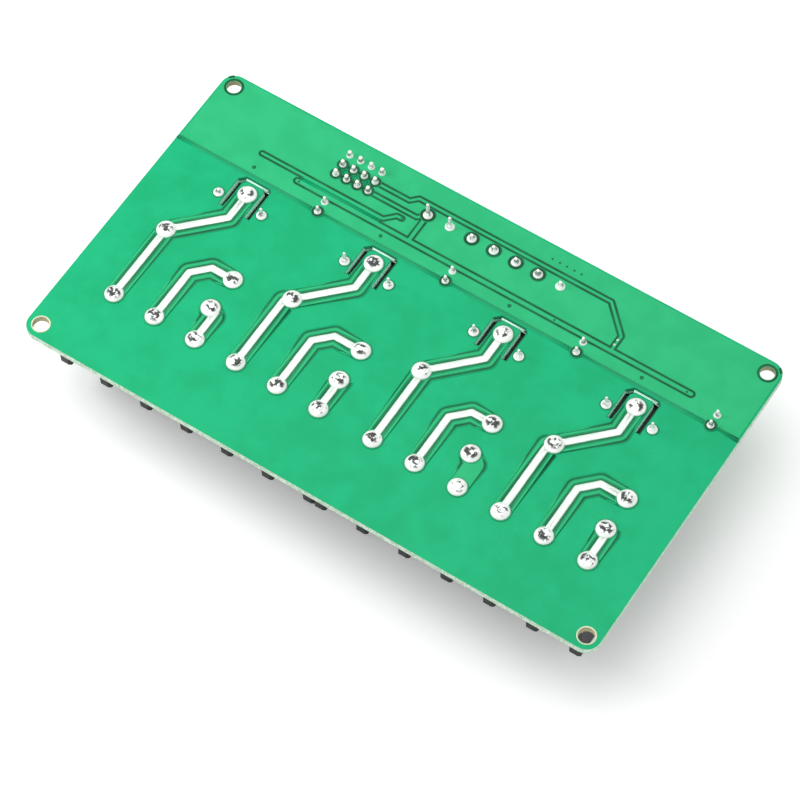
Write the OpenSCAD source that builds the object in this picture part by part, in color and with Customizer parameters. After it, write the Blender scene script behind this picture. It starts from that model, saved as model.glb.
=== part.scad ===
// Four-channel power relay board, lying on its relays with the solder side up.
// X runs along the board, Y from the power terminals to the control inputs and
// +Z out of the solder side. The four relay tops stand on z = 0.

/* [Board] */
// Board left beyond each end of the longer row of parts
end_margin = 4.75; // [4.4:0.05:12]
// Laminate thickness
board_t = 1.6; // [1:0.1:2.4]
// Outline corner radius
board_r = 3; // [1:0.5:5]
// Mounting hole diameter
hole_d = 3.3; // [2.7:0.1:3.5]
// Mounting hole centre from each board edge
hole_inset = 2.9; // [2.6:0.1:3.2]

/* [Copper] */
// Foil and mask thickness
copper_t = 0.1; // [0.07:0.01:0.2]
// Bare laminate between the relays' end walls and the control-side pour
pour_clear = 1.07; // [0.6:0.01:1.3]
// Clearance round tracks and pads inside the pour
etch_gap = 0.38; // [0.2:0.02:0.4]
// Signal track width
signal_w = 0.65; // [0.5:0.05:1]
// Supply track width along the row of surface parts
supply_w = 0.92; // [0.6:0.02:1]
// Supply track width down from the input block
feed_w = 0.8; // [0.6:0.05:1]
// Power track width
power_w = 3.85; // [3:0.05:4.4]
// Width of the tinned strip along a power track
strip_w = 1.5; // [0.8:0.1:2]
// Height of the tinned strip above the track
strip_t = 0.2; // [0.1:0.05:0.4]
// Width of an isolation slot's legs
slot_w = 1.1; // [0.6:0.05:1.2]
// Width of the bar that joins them
slot_bar_w = 0.75; // [0.6:0.05:1]
// Isolation slot leg centre from the relay centreline
slot_leg_x = 3.05; // [2.9:0.05:3.2]

/* [Relays] */
// Relay body length, along Y
relay_l = 32.3; // [31.5:0.1:32.6]
// Relay body width, along X
relay_w = 27.4; // [26:0.1:28]
// Relay body height
relay_h = 20.2; // [16:0.1:26]
// Gap between neighbouring relays
relay_gap = 2.37; // [1:0.01:4]
// Relay case wall round its base plate
relay_wall = 1.1; // [0.8:0.1:1.6]
// Relay base plate thickness
relay_base_t = 2; // [1.2:0.1:3]
// First and last lead from the relay's end walls
lead_end_inset = 3.45; // [3:0.05:4]
// Side leads from the relay's long walls
lead_side_inset = 4.9; // [3:0.1:5.5]
// Contact lead width
contact_lead_w = 1.6; // [1:0.1:1.8]
// Coil lead width
coil_lead_w = 0.5; // [0.4:0.05:0.9]

/* [Power terminals] */
// Ways in one barrier block
barrier_ways = 6; // [6]
// Barrier pitch
barrier_pitch = 9.525; // [9:0.025:10.5]
// Barrier block depth, along Y
barrier_depth = 15.4; // [14:0.1:20]
// Divider height
barrier_h = 12.4; // [11.5:0.1:16]
// Divider thickness
divider_t = 2.6; // [1.8:0.1:2.8]
// Height of the shelf that carries the terminal plates
shelf_h = 5.6; // [4.5:0.1:6]
// Barrier front face from the board edge
barrier_inset = 4.15; // [3.5:0.05:6]
// Barrier rear face to the relays
barrier_clear = 0.48; // [0.2:0.02:3]
// Clamp screw from the front face
screw_y = 6; // [5:0.1:6.5]
// Solder lead from the rear face
barrier_lead_inset = 3.47; // [3.3:0.01:4]
// Clamp screw thread diameter
clamp_screw_d = 3; // [2.5:0.1:3.2]
// Clamp screw head diameter
clamp_head_d = 5.6; // [5:0.1:5.8]

/* [Control terminals] */
// Strip for lamps and surface parts between the relays and the input block
chip_zone = 7.84; // [7.6:0.02:14]
// Ways in the input block
input_ways = 7; // [7]
// Input pitch
input_pitch = 5.08; // [5:0.02:5.08]
// Input block depth, along Y
input_depth = 7.6; // [7:0.1:9]
// Input block height
input_h = 10; // [9.4:0.1:12]
// Input block to the input edge
input_margin = 3.83; // [3.4:0.01:8]
// Input block centre along X
input_x = 2.94; // [2:0.02:4]
// Header columns
header_cols = 4; // [4]
// Header rows
header_rows = 3; // [3]
// Header pitch
header_pitch = 2.54; // [2.5:0.01:2.54]
// Header to the end of the input block
header_gap = 9.18; // [6:0.02:12]
// Header centre beyond the input leads
header_shift = 0.93; // [0.5:0.01:1.5]
// Header pin thickness
header_pin = 0.64; // [0.5:0.02:0.7]

/* [Lamps and surface parts] */
// Lamp body diameter
led_d = 3; // [2.8:0.1:3.2]
// Lamp height above the board
led_h = 5.4; // [4.5:0.1:8]
// Relay end walls to the middle of the surface part row
chip_row_clear = 4.17; // [4:0.01:4.6]

/* [Hidden] */
$fn = 32;

eps = 0.01;
channels = 4;
solder_z = relay_h + board_t;      // solder side of the laminate

// Outline: the rows of parts set the length, their depths set the width
block_l = barrier_ways * barrier_pitch + divider_t;
block_gap = 0.1;
relay_pitch = relay_w + relay_gap;
relay_row_l = channels * relay_w + (channels - 1) * relay_gap;
board_l = max(2 * block_l + block_gap, relay_row_l) + 2 * end_margin;
control_depth = chip_zone + input_depth + input_margin;
board_w = barrier_inset + barrier_depth + barrier_clear + relay_l + control_depth;
far = board_w / 2;                 // input edge
near = -board_w / 2;               // power edge

// Relay leads, measured from the arm lead on the relay's centreline
relay_grid = 2.54;
coil_x = 5.1;                      // coil leads, either side
coil_y = -relay_grid;
side_x = relay_w / 2 - lead_side_inset;
open_y = 2 * lead_end_inset - relay_l;
closed_y = open_y + 3 * relay_grid;
common_y = open_y + 4 * relay_grid;
contact_lead_t = 0.8;
coil_lead_t = 0.4;
lead_out = 0.95;                   // contact lead tip beyond the laminate
relay_row_x = -0.24;               // row of relays, off the board's centre
relay_end_y = far - control_depth;
relay_mid_y = relay_end_y - relay_l / 2;
arm_y = relay_end_y - lead_end_inset;
relay_standoff = 0.4;
base_fit = 0.05;

// Power terminals
blocks_x = 0.03;                   // joint between the two barrier blocks
barrier_y = near + barrier_inset;
barrier_lead_y = barrier_depth - barrier_lead_inset;
lead_row_y = barrier_y + barrier_lead_y;
plate_t = 0.8;
plate_fit = 0.15;                  // plate edge to divider
plate_w = barrier_pitch - divider_t - 2 * plate_fit;
clamp_t = 0.9;
clamp_fit = 0.2;                   // clamp edge inside the plate's
clamp_w = plate_w - 2 * clamp_fit;
clamp_l = 6;
head_h = 2.1;
tail_w = 1.6;
tail_t = 1;
tail_out = 1.05;                   // lead tip beyond the laminate
rear_wall_t = 2;
screw_floor = 1.8;                 // screw tip above the component side

// Control side
input_l = input_ways * input_pitch;
input_y = far - input_margin - input_depth / 2;
header_l = header_cols * header_pitch;
header_x = input_x - input_l / 2 - header_gap - header_l / 2;
header_y = input_y + header_shift;
header_base_h = 2.5;
header_pin_h = 8.5;                // pin top above the board
header_tail = 1.5;
flange_d = led_d + 0.5;
led_x = relay_w / 2 + 0.17;        // lamp from its relay's centreline
led_y = relay_end_y + flange_d / 2 + 0.25;
led_pitch = 2.54;
led_lead = 0.5;
led_tail = 1.8;
led_gap = 0.5;                     // lamp flange above the board
chip_y = relay_end_y + chip_row_clear;
resistor = [2, 1.25, 0.5];
lamp_chip = [2, 1.25, 0.8];
chip_cap = 0.4;                    // plated end of a chip
chip_gap = 0.85;

// Pads and the drilled holes inside them
contact_pad_d = power_w + 0.1;
contact_hole_d = 2;
coil_pad_d = 2.1;
coil_hole_d = 1.2;
barrier_pad_d = power_w;
barrier_hole_d = 2;
input_pad_d = 2;
input_hole_d = 1.4;
header_pad_d = 1.45;
header_hole_d = 1;
led_pad_d = 1.5;
led_hole_d = 0.8;
well_gap = 0.45;                   // clearance round an input pad in the pour

function relay_x(i) = (i - (channels - 1) / 2) * relay_pitch + relay_row_x;
function arm_at(i) = [relay_x(i), arm_y];
function contact_leads(i) = [
  arm_at(i),
  arm_at(i) + [-side_x, common_y],
  arm_at(i) + [side_x, closed_y],
  arm_at(i) + [side_x, open_y]];
function coil_leads(i) = [for (s = [-1, 1]) arm_at(i) + [s * coil_x, coil_y]];
function block_x(b) = blocks_x + (b - 0.5) * (block_l + block_gap);
function way_x(b, k) = block_x(b) + (k - (barrier_ways - 1) / 2) * barrier_pitch;
// Each relay takes three neighbouring ways: common, closed, open
function power_way(i, t) =
  let (n = 3 * i + t) [way_x(floor(n / barrier_ways), n % barrier_ways), lead_row_y];
function barrier_leads(b) = [for (k = [0:barrier_ways - 1]) [way_x(b, k), lead_row_y]];
function input_leads() = [for (k = [0:input_ways - 1])
  [input_x + (k - (input_ways - 1) / 2) * input_pitch, input_y]];
// Row 0 is the one nearest the input edge
function header_at(c, r) = [
  header_x + (c - (header_cols - 1) / 2) * header_pitch,
  header_y + ((header_rows - 1) / 2 - r) * header_pitch];
function header_leads() = [for (r = [0:header_rows - 1], c = [0:header_cols - 1]) header_at(c, r)];
function led_at(i) = [relay_x(i) + led_x, led_y];
// Lead 0 is the one nearest the input edge
function led_lead_at(i, s) = led_at(i) + [0, (0.5 - s) * led_pitch];
function led_leads() = [for (i = [0:channels - 1], s = [0, 1]) led_lead_at(i, s)];
// Coil leads and input pins stand out by the amount left after soldering
function coil_out(i, s) = [[1.1, 2.4], [2.9, 2.5], [2.5, 2.4], [2.6, 2.5]][i][s];
function input_tail(k) = [3.8, 3.3, 1.5, 1.6, 1.6, 1.6, 1.7][k % 7];

function corner(x, y, r, a) = [for (t = [0:1:8]) [x, y] + r * [cos(a + 90 * t / 8), sin(a + 90 * t / 8)]];
function round_rect(w, l, r) = concat(
  corner(w / 2 - r, l / 2 - r, r, 0), corner(r - w / 2, l / 2 - r, r, 90),
  corner(r - w / 2, r - l / 2, r, 180), corner(w / 2 - r, r - l / 2, r, 270));
function cut_rect(w, l, c) = [
  [w / 2, l / 2 - c], [w / 2 - c, l / 2], [c - w / 2, l / 2], [-w / 2, l / 2 - c],
  [-w / 2, c - l / 2], [c - w / 2, -l / 2], [w / 2 - c, -l / 2], [w / 2, c - l / 2]];

module bar(size, at = [0, 0], z = 0) {
  translate([at[0] - size[0] / 2, at[1] - size[1] / 2, z]) cube(size);
}

// Places a part that is drawn standing on the component side
module on_components(at) {
  translate([at[0], at[1], relay_h]) mirror([0, 0, 1]) children();
}

module on_solder(at) {
  translate([at[0], at[1], solder_z]) children();
}

// ---- Copper outlines -------------------------------------------------------

// Track of constant width with round bends; the ends are left square for pads
module track(path, w, capped = false) {
  last = len(path) - 1;
  for (i = [capped ? 0 : 1:1:capped ? last : last - 1]) translate(path[i]) circle(d = w);
  for (i = [1:last]) {
    d = path[i] - path[i - 1];
    if (norm(d) > eps)
      translate(path[i - 1]) rotate(atan2(d[1], d[0])) translate([0, -w / 2]) square([norm(d), w]);
  }
}

module discs(centres, d) {
  for (c = centres) translate(c) circle(d = d);
}

function arm_path(i) =
  let (a = arm_at(i), c = contact_leads(i)[1], t = power_way(i, 0), jog = abs(c[0] - t[0]))
  [a, [a[0], c[1] + side_x], c, [t[0], c[1] - jog], t];
function closed_path(i) =
  let (c = contact_leads(i)[2], t = power_way(i, 1), bend = 3.2)
  [c, [t[0] + bend, c[1]], [t[0], c[1] - bend], t];
function open_path(i) =
  let (c = contact_leads(i)[3], t = power_way(i, 2)) [c, [t[0], c[1] - abs(c[0] - t[0])], t];

// Signal tracks, routed between the named pads
jumper_bus_y = input_y + input_pad_d / 2 + 1.33;
supply_bus_y = relay_end_y + 4.57;
supply_start = relay_x(0) + 6.5;
link_y = supply_bus_y + 1.64;
link_end = (header_x + input_leads()[0][0]) / 2 + 1.4;
drop_x = relay_x(3) - 10.5;        // trigger supply down to the bus
drop = 5.6;                        // its 45 degree part
// Width and path of each
function signal_paths() =
  let (trig = header_at(3, 1), sense = header_at(3, 2), vin = input_leads()[0],
       step_up = jumper_bus_y - trig[1], step_in = vin[1] - sense[1], hook = 2)
  [ [signal_w, [trig, [trig[0] + 8.1, trig[1]], [trig[0] + 8.1 + step_up, jumper_bus_y],
     [drop_x - drop, jumper_bus_y], [drop_x, jumper_bus_y - drop], [drop_x, supply_bus_y]]],
    [signal_w, [sense, [vin[0] - step_in, sense[1]], vin]],
    [feed_w, [vin, [vin[0], supply_bus_y]]],
    [supply_w, [[supply_start, supply_bus_y], [relay_x(3) + 7.3, supply_bus_y]]],
    [signal_w, [[relay_x(0) - 3, link_y], [link_end, link_y],
     [link_end + hook, link_y + hook], [link_end + 1.1 + hook, link_y + hook]]],
    [signal_w, [header_at(0, 2), sense]] ];

module signal_outline(grow = 0) {
  for (p = signal_paths()) track(p[1], p[0] + 2 * grow, true);
}

module board_outline(inset = 0) {
  polygon(round_rect(board_l - 2 * inset, board_w - 2 * inset, board_r - inset / 2));
}

// Closed on the terminal side, open towards the contacts
module slot_outline(i) {
  top = 3.42;
  leg = 8.1;
  out = slot_leg_x + slot_w / 2;
  in = out - slot_w;
  low = top - slot_bar_w;
  translate(arm_at(i)) difference() {
    polygon([[-out, top - leg], [-out, top - 1.2], [1.2 - out, top],
      [out - 0.6, top], [out, top - 0.6], [out, top - leg]]);
    polygon([[-in, top - leg - 1], [-in, low - 0.8], [0.8 - in, low],
      [in - 0.4, low], [in, low - 0.4], [in, top - leg - 1]]);
  }
}

module drill_all() {
  for (i = [0:channels - 1]) {
    discs(contact_leads(i), contact_hole_d);
    discs(coil_leads(i), coil_hole_d);
  }
  for (b = [0, 1]) discs(barrier_leads(b), barrier_hole_d);
  discs(input_leads(), input_hole_d);
  discs(header_leads(), header_hole_d);
  discs(led_leads(), led_hole_d);
}

module circuit_board() {
  color([0.14, 0.68, 0.46]) translate([0, 0, relay_h]) difference() {
    linear_extrude(board_t) board_outline();
    for (x = [-1, 1], y = [-1, 1])
      translate([x * (board_l / 2 - hole_inset), y * (board_w / 2 - hole_inset), -1])
        cylinder(d = hole_d, h = board_t + 2, $fn = 48);
    translate([0, 0, -1]) linear_extrude(board_t + 2) {
      for (i = [0:channels - 1]) slot_outline(i);
      drill_all();
    }
  }
}

module control_pour() {
  ringed = concat([for (c = [0:3]) header_at(c, 1)], [for (c = [0:3]) header_at(c, 2)]);
  color([0.25, 0.72, 0.5]) on_solder([0, 0]) linear_extrude(copper_t) difference() {
    intersection() {
      board_outline(0.4);
      translate([-board_l, relay_end_y + pour_clear]) square([2 * board_l, control_depth]);
    }
    for (x = [-1, 1]) translate([x * (board_l / 2 - hole_inset), far - hole_inset])
      circle(d = hole_d + 0.7);
    signal_outline(etch_gap);
    // No pour is left between the link and the supply track
    translate([supply_start, supply_bus_y]) square([link_end - supply_start, link_y - supply_bus_y]);
    discs(ringed, header_pad_d + 2 * etch_gap);
    translate([header_at(0, 2)[0], header_at(0, 2)[1]])
      square([3 * header_pitch, header_pitch]);
    discs([for (c = [0:3]) header_at(c, 0)], header_pad_d);
    for (k = [0:input_ways - 1]) translate(input_leads()[k])
      circle(d = input_pad_d + (k == 1 || k == 6 ? 0 : 2 * well_gap));
    discs([for (i = [0:channels - 1]) led_lead_at(i, 0)], led_pad_d);
    discs([for (i = [0:channels - 1]) led_lead_at(i, 1)], led_pad_d + 2 * etch_gap);
  }
}

module signal_tracks() {
  color([0.25, 0.72, 0.5]) on_solder([0, 0]) linear_extrude(copper_t) difference() {
    signal_outline();
    discs(header_leads(), header_pad_d);
    discs(input_leads(), input_pad_d);
  }
}

module power_pads(d_contact, d_barrier) {
  for (i = [0:channels - 1]) {
    discs(contact_leads(i), d_contact);
    for (t = [0:2]) translate(power_way(i, t)) circle(d = d_barrier);
  }
}

module power_tracks() {
  color([0.25, 0.72, 0.5]) on_solder([0, 0]) linear_extrude(copper_t) difference() {
    for (i = [0:channels - 1]) {
      track(arm_path(i), power_w);
      track(closed_path(i), power_w);
      track(open_path(i), power_w);
    }
    power_pads(contact_pad_d, barrier_pad_d);
    for (i = [0:channels - 1]) slot_outline(i);
  }
}

// The third relay's open track is left masked
module tinned_strips() {
  color([0.93, 0.95, 0.94]) translate([0, 0, copper_t]) on_solder([0, 0])
    linear_extrude(strip_t) difference() {
      for (i = [0:channels - 1]) {
        track(arm_path(i), strip_w);
        track(closed_path(i), strip_w);
        if (i != 2) track([[power_way(i, 2)[0], contact_leads(i)[3][1]], power_way(i, 2)], strip_w);
      }
      power_pads(contact_pad_d, barrier_pad_d);
    }
}

// ---- Solder ----------------------------------------------------------------

// Tinned pad, the filled hole below it and a fillet that climbs the lead
module joint(at, pad_d, hole_d, lead, rise) {
  tip = norm(lead) / 2 + 0.06;
  rim = pad_d / 2;
  fillet = [for (t = [0:0.2:1]) [rim - (rim - tip) * (1 - pow(1 - t, 1.7)), copper_t + rise * pow(t, 1.25)]];
  on_solder(at) difference() {
    rotate_extrude() polygon(concat(
      [[0, -board_t], [hole_d / 2, -board_t], [hole_d / 2, 0], [rim, 0]], fillet,
      [[0, copper_t + rise]]));
    bar([lead[0], lead[1], board_t + 8], z = -board_t - 1);
  }
}

contact_lead = [contact_lead_w, contact_lead_t];
coil_lead = [coil_lead_w, coil_lead_t];
tail = [tail_w, tail_t];
input_pin = [0.6, 0.5];

module relay_solder() {
  color([0.93, 0.95, 0.94]) for (i = [0:channels - 1]) {
    for (p = contact_leads(i)) joint(p, contact_pad_d, contact_hole_d, contact_lead, 0.7);
    for (p = coil_leads(i)) joint(p, coil_pad_d, coil_hole_d, coil_lead, 0.9);
  }
}

module barrier_solder() {
  color([0.93, 0.95, 0.94]) for (b = [0, 1], p = barrier_leads(b))
    joint(p, barrier_pad_d, barrier_hole_d, tail, 0.75);
}

module input_solder() {
  color([0.93, 0.95, 0.94]) for (p = input_leads())
    joint(p, input_pad_d, input_hole_d, input_pin, 1);
}

module header_solder() {
  color([0.93, 0.95, 0.94]) for (p = header_leads())
    joint(p, header_pad_d, header_hole_d, [header_pin, header_pin], 0.9);
}

module led_solder() {
  color([0.93, 0.95, 0.94]) for (p = led_leads())
    joint(p, led_pad_d, led_hole_d, [led_lead, led_lead], 0.8);
}

// ---- Relays ----------------------------------------------------------------

// Block with its far face and long edges broken by a chamfer
module case_block(w, l, h, r, c) {
  side = function (s) [
    [-s / 2, 0], [s / 2, 0], [s / 2, h - c], [s / 2 - c, h], [c - s / 2, h], [-s / 2, h - c]];
  intersection() {
    linear_extrude(h) polygon(round_rect(w, l, r));
    rotate([90, 0, 0]) translate([0, 0, -l]) linear_extrude(2 * l) polygon(side(w));
    rotate([90, 0, 90]) translate([0, 0, -w]) linear_extrude(2 * w) polygon(side(l));
  }
}

module relay_case(i) {
  color([0.1, 0.1, 0.11]) on_components([relay_x(i), relay_mid_y]) difference() {
    translate([0, 0, relay_standoff]) case_block(relay_w, relay_l, relay_h - relay_standoff, 1, 0.6);
    bar([relay_w - 2 * relay_wall, relay_l - 2 * relay_wall, relay_base_t]);
    // Vent nib, trimmed after sealing
    translate([relay_w / 2 - 4, 4 - relay_l / 2, relay_h - 0.4]) cylinder(d = 2, h = 1);
  }
}

module relay_base(i) {
  w = relay_w - 2 * relay_wall - 2 * base_fit;
  l = relay_l - 2 * relay_wall - 2 * base_fit;
  at = [relay_x(i), relay_mid_y];
  color([0.16, 0.16, 0.17]) on_components(at) difference() {
    union() {
      bar([w, l, relay_base_t - relay_standoff], z = relay_standoff);
      for (x = [-1, 1], y = [-1, 1])
        bar([1.6, 1.6, relay_standoff + eps], [x * (w / 2 - 1), y * (l / 2 - 4)]);
    }
    for (p = contact_leads(i)) bar([contact_lead_w, contact_lead_t, 20], p - at, -1);
    for (p = coil_leads(i)) bar([coil_lead_w, coil_lead_t, 20], p - at, -1);
  }
}

module relay_leads(i) {
  out = board_t + lead_out;
  color([0.8, 0.76, 0.68]) {
    for (p = contact_leads(i)) on_components(p)
      bar([contact_lead_w, contact_lead_t, relay_base_t + out], z = -out);
    for (s = [0, 1]) on_components(coil_leads(i)[s])
      bar([coil_lead_w, coil_lead_t, relay_base_t + board_t + coil_out(i, s)],
        z = -board_t - coil_out(i, s));
  }
}

// ---- Barrier blocks --------------------------------------------------------

module barrier_side(pts, w) {
  translate([-w / 2, 0, 0]) rotate([90, 0, 90]) linear_extrude(w) polygon(pts);
}

module barrier_divider() {
  nose = 0.4;
  intersection() {
    barrier_side([[0, 0], [0, barrier_h - 0.5], [0.5, barrier_h], [barrier_depth - 1.6, barrier_h],
      [barrier_depth, barrier_h - 1.6], [barrier_depth, 0]], divider_t);
    linear_extrude(barrier_h + 1) polygon([
      [nose - divider_t / 2, 0], [divider_t / 2 - nose, 0], [divider_t / 2, 0.6],
      [divider_t / 2, barrier_depth], [-divider_t / 2, barrier_depth], [-divider_t / 2, 0.6]]);
  }
}

module barrier_housing(b) {
  span = barrier_ways * barrier_pitch;
  rear = barrier_depth - rear_wall_t;
  color([0.08, 0.08, 0.09]) on_components([block_x(b), barrier_y]) difference() {
    union() {
      for (k = [0:barrier_ways]) translate([(k - barrier_ways / 2) * barrier_pitch, 0, 0])
        barrier_divider();
      barrier_side([[1.2, 0], [1.2, 1.4], [0.4, 2.2], [0.4, shelf_h - 0.6], [1, shelf_h], [rear, shelf_h],
        [rear, barrier_h - 2.6], [rear + 0.6, barrier_h - 2], [barrier_depth - 0.4, barrier_h - 2],
        [barrier_depth - 0.4, 0]], span);
    }
    for (k = [0:barrier_ways - 1]) translate([(k - (barrier_ways - 1) / 2) * barrier_pitch, 0, 0]) {
      translate([0, screw_y, screw_floor - 0.6]) cylinder(d = clamp_screw_d + 0.4, h = shelf_h);
      bar([tail_w + 0.2, tail_t + 0.2, shelf_h + 2], [0, barrier_lead_y], -1);
      // Nut-side relief under each way
      bar([plate_w - 1.6, 5, 0.8 + eps], [0, screw_y], -eps);
    }
  }
}

module barrier_plates(b) {
  color([0.8, 0.8, 0.78]) for (p = barrier_leads(b)) on_components([p[0], barrier_y]) {
    difference() {
      translate([0, 0, shelf_h]) linear_extrude(plate_t) polygon([
        [-plate_w / 2, 1], [plate_w / 2, 1], [plate_w / 2, screw_y + 3.4], [tail_w / 2, barrier_lead_y - 0.6],
        [tail_w / 2, barrier_lead_y + tail_t / 2], [-tail_w / 2, barrier_lead_y + tail_t / 2],
        [-tail_w / 2, barrier_lead_y - 0.6], [-plate_w / 2, screw_y + 3.4]]);
      translate([0, screw_y, 0]) cylinder(d = clamp_screw_d, h = barrier_h);
    }
    bar([tail_w, tail_t, shelf_h + eps + board_t + tail_out], [0, barrier_lead_y], -board_t - tail_out);
  }
}

module barrier_clamps(b) {
  color([0.82, 0.82, 0.8]) for (p = barrier_leads(b)) on_components([p[0], barrier_y + screw_y])
    difference() {
      translate([0, 0, shelf_h + plate_t]) linear_extrude(clamp_t) polygon(cut_rect(clamp_w, clamp_l, 0.5));
      cylinder(d = clamp_screw_d + 0.3, h = barrier_h);
      // Wire grooves either side of the screw
      for (s = [-1, 1]) translate([s * 2.3, -4, shelf_h + plate_t]) rotate([-90, 0, 0])
        cylinder(r = 0.35, h = 8);
    }
}

module cross_head(d, h, slot) {
  difference() {
    cylinder(d = d, h = h);
    for (a = [0, 90]) rotate(a) bar([slot, d * 0.68, h], z = h / 2);
  }
}

module barrier_screws(b) {
  seat = shelf_h + plate_t + clamp_t;
  color([0.84, 0.84, 0.82]) for (p = barrier_leads(b)) on_components([p[0], barrier_y + screw_y]) {
    translate([0, 0, screw_floor]) cylinder(d = clamp_screw_d, h = seat - screw_floor + eps);
    translate([0, 0, seat]) cross_head(clamp_head_d, head_h, 0.8);
  }
}

// ---- Input block -----------------------------------------------------------

cage = [4, 5, 5.8];
cage_z = 0.5;
cage_side = 0.5;
cage_floor = 0.6;
cage_roof = 1;
pin_plate_t = 0.6;
input_screw_d = 2.6;
input_head_d = 3.6;
input_head_h = 1.4;
input_seat = input_h - 1.8;        // under the screw head
input_screw_low = 4.2;             // screw tip above the component side

module input_housing() {
  f = input_depth / 2;
  color([0.1, 0.42, 0.3]) on_components([input_x, input_y]) difference() {
    translate([-input_l / 2, 0, 0]) rotate([90, 0, 90]) linear_extrude(input_l) polygon([
      [-f, 0], [f, 0], [f, 5.8], [f - 0.7, 6.6], [f - 1.1, input_h], [1 - f, input_h], [-f, input_h - 1.8]]);
    for (k = [0:input_ways - 1]) translate([(k - (input_ways - 1) / 2) * input_pitch, 0, 0]) {
      bar([cage[0] + 0.1, cage[1] + 0.1, cage_z + cage[2] + 1], z = -1 + eps);
      translate([0, 0, 2]) cylinder(d = input_head_d + 0.4, h = input_h);
      bar([3.2, f + 1, 3.2], [0, (f + 1) / 2], 1.4);
    }
    // Step between neighbouring ways along the wire side
    for (k = [1:input_ways - 1]) bar([0.5, 0.8, 5], [(k - input_ways / 2) * input_pitch, f], 0.4);
  }
}

module input_cages() {
  color([0.8, 0.8, 0.78]) for (p = input_leads()) on_components(p) difference() {
    bar(cage, z = cage_z);
    bar([cage[0] - 2 * cage_side, cage[1] + 1, cage[2] - cage_floor - cage_roof], z = cage_z + cage_floor);
    translate([0, 0, cage_z + cage[2] - cage_roof - 1]) cylinder(d = input_screw_d, h = cage_roof + 2);
    bar([input_pin[0] + 0.2, input_pin[1] + 0.2, 2], z = -0.5);
  }
}

module input_pins() {
  color([0.82, 0.82, 0.8]) for (k = [0:input_ways - 1]) on_components(input_leads()[k]) {
    bar([input_pin[0], input_pin[1], board_t + input_tail(k) + cage_z + cage_floor + eps],
      z = -board_t - input_tail(k));
    bar([cage[0] - 2 * cage_side - 0.2, cage[1] - 0.4, pin_plate_t], z = cage_z + cage_floor);
  }
}

module input_screws() {
  color([0.84, 0.84, 0.82]) for (p = input_leads()) on_components(p) {
    translate([0, 0, input_screw_low])
      cylinder(d = input_screw_d, h = input_seat - input_screw_low + eps);
    translate([0, 0, input_seat]) difference() {
      cylinder(d = input_head_d, h = input_head_h);
      bar([0.6, input_head_d + 1, 1], z = input_head_h / 2);
    }
  }
}

// ---- Jumper header ---------------------------------------------------------

module header_base() {
  color([0.09, 0.09, 0.1]) on_components([0, 0]) difference() {
    linear_extrude(header_base_h) for (p = header_leads()) translate(p)
      polygon(cut_rect(header_pitch + eps, header_pitch + eps, 0.35));
    for (p = header_leads()) bar([header_pin, header_pin, 9], p, -1);
  }
}

module header_pins() {
  color([0.85, 0.75, 0.45]) for (p = header_leads()) on_components(p)
    bar([header_pin, header_pin, header_pin_h + board_t + header_tail], z = -board_t - header_tail);
}

// Each cap bridges the middle and inner pins of its column
module jumper_cap(c) {
  at = (header_at(c, 1) + header_at(c, 2)) / 2;
  color([0.12, 0.12, 0.13]) on_components(at) difference() {
    translate([0, 0, header_base_h]) linear_extrude(header_pin_h - header_base_h + 0.5)
      polygon(cut_rect(header_pitch - 0.2, 2 * header_pitch - 0.2, 0.3));
    for (s = [-1, 1])
      bar([header_pin + 0.1, header_pin + 0.1, header_pin_h + 0.1], [0, s * header_pitch / 2]);
  }
}

// ---- Lamps and surface parts ----------------------------------------------

module led_lens(i) {
  color([0.85, 0.12, 0.1, 0.8]) on_components(led_at(i)) translate([0, 0, led_gap]) {
    difference() {
      cylinder(d = flange_d, h = 1);
      bar([flange_d, 1, 3], [0, -flange_d / 2 - 0.3], -1);
      for (s = [-1, 1]) bar([led_lead, led_lead, 0.6], [0, s * led_pitch / 2], -eps);
    }
    translate([0, 0, 1 - eps]) cylinder(d = led_d, h = led_h - led_gap - led_d / 2 - 1 + eps);
    translate([0, 0, led_h - led_gap - led_d / 2 - eps]) intersection() {
      sphere(d = led_d);
      cylinder(d = led_d + 1, h = led_d);
    }
  }
}

module led_leads_all() {
  color([0.82, 0.82, 0.8]) for (p = led_leads()) on_components(p)
    bar([led_lead, led_lead, board_t + led_tail + led_gap + 0.6 - eps], z = -board_t - led_tail);
}

// Gull-wing lead, running outwards along +X from a body's side wall
module gull_lead(w, reach, h) {
  rotate([90, 0, 0]) translate([0, 0, -w / 2]) linear_extrude(w) polygon([
    [0, h], [reach * 0.35, h], [reach * 0.6, 0.15], [reach, 0.15], [reach, 0],
    [reach * 0.5, 0], [reach * 0.25, h - 0.2], [0, h - 0.2]]);
}

module optocoupler(i) {
  color([0.13, 0.13, 0.14]) on_components([relay_x(i) - 8.6, chip_y]) {
    translate([0, 0, 0.1]) case_block(4.4, 4, 2, 0.1, 0.3);
    for (s = [0, 180], y = [-1.27, 1.27]) rotate(s) translate([2.2 - eps, y, 0]) gull_lead(0.4, 1.4, 1.1);
  }
}

module transistor(i) {
  color([0.13, 0.13, 0.14]) on_components([relay_x(i) - 1.6, chip_y]) rotate(90) {
    translate([0, 0, 0.05]) case_block(1.3, 2.9, 1.05, 0.1, 0.15);
    for (y = [-0.95, 0.95]) translate([0.65 - eps, y, 0]) gull_lead(0.4, 0.55, 0.6);
    rotate(180) translate([0.65 - eps, 0, 0]) gull_lead(0.4, 0.55, 0.6);
  }
}

module flyback_diode(i) {
  color([0.13, 0.13, 0.14]) on_components([relay_x(i) + 4.2, chip_y]) {
    translate([0, 0, 0.1]) case_block(4.3, 2.6, 2.1, 0.1, 0.25);
    for (s = [-1, 1]) bar([1, 1.4, 0.3], [s * 2.1, 0]);
  }
}

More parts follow.
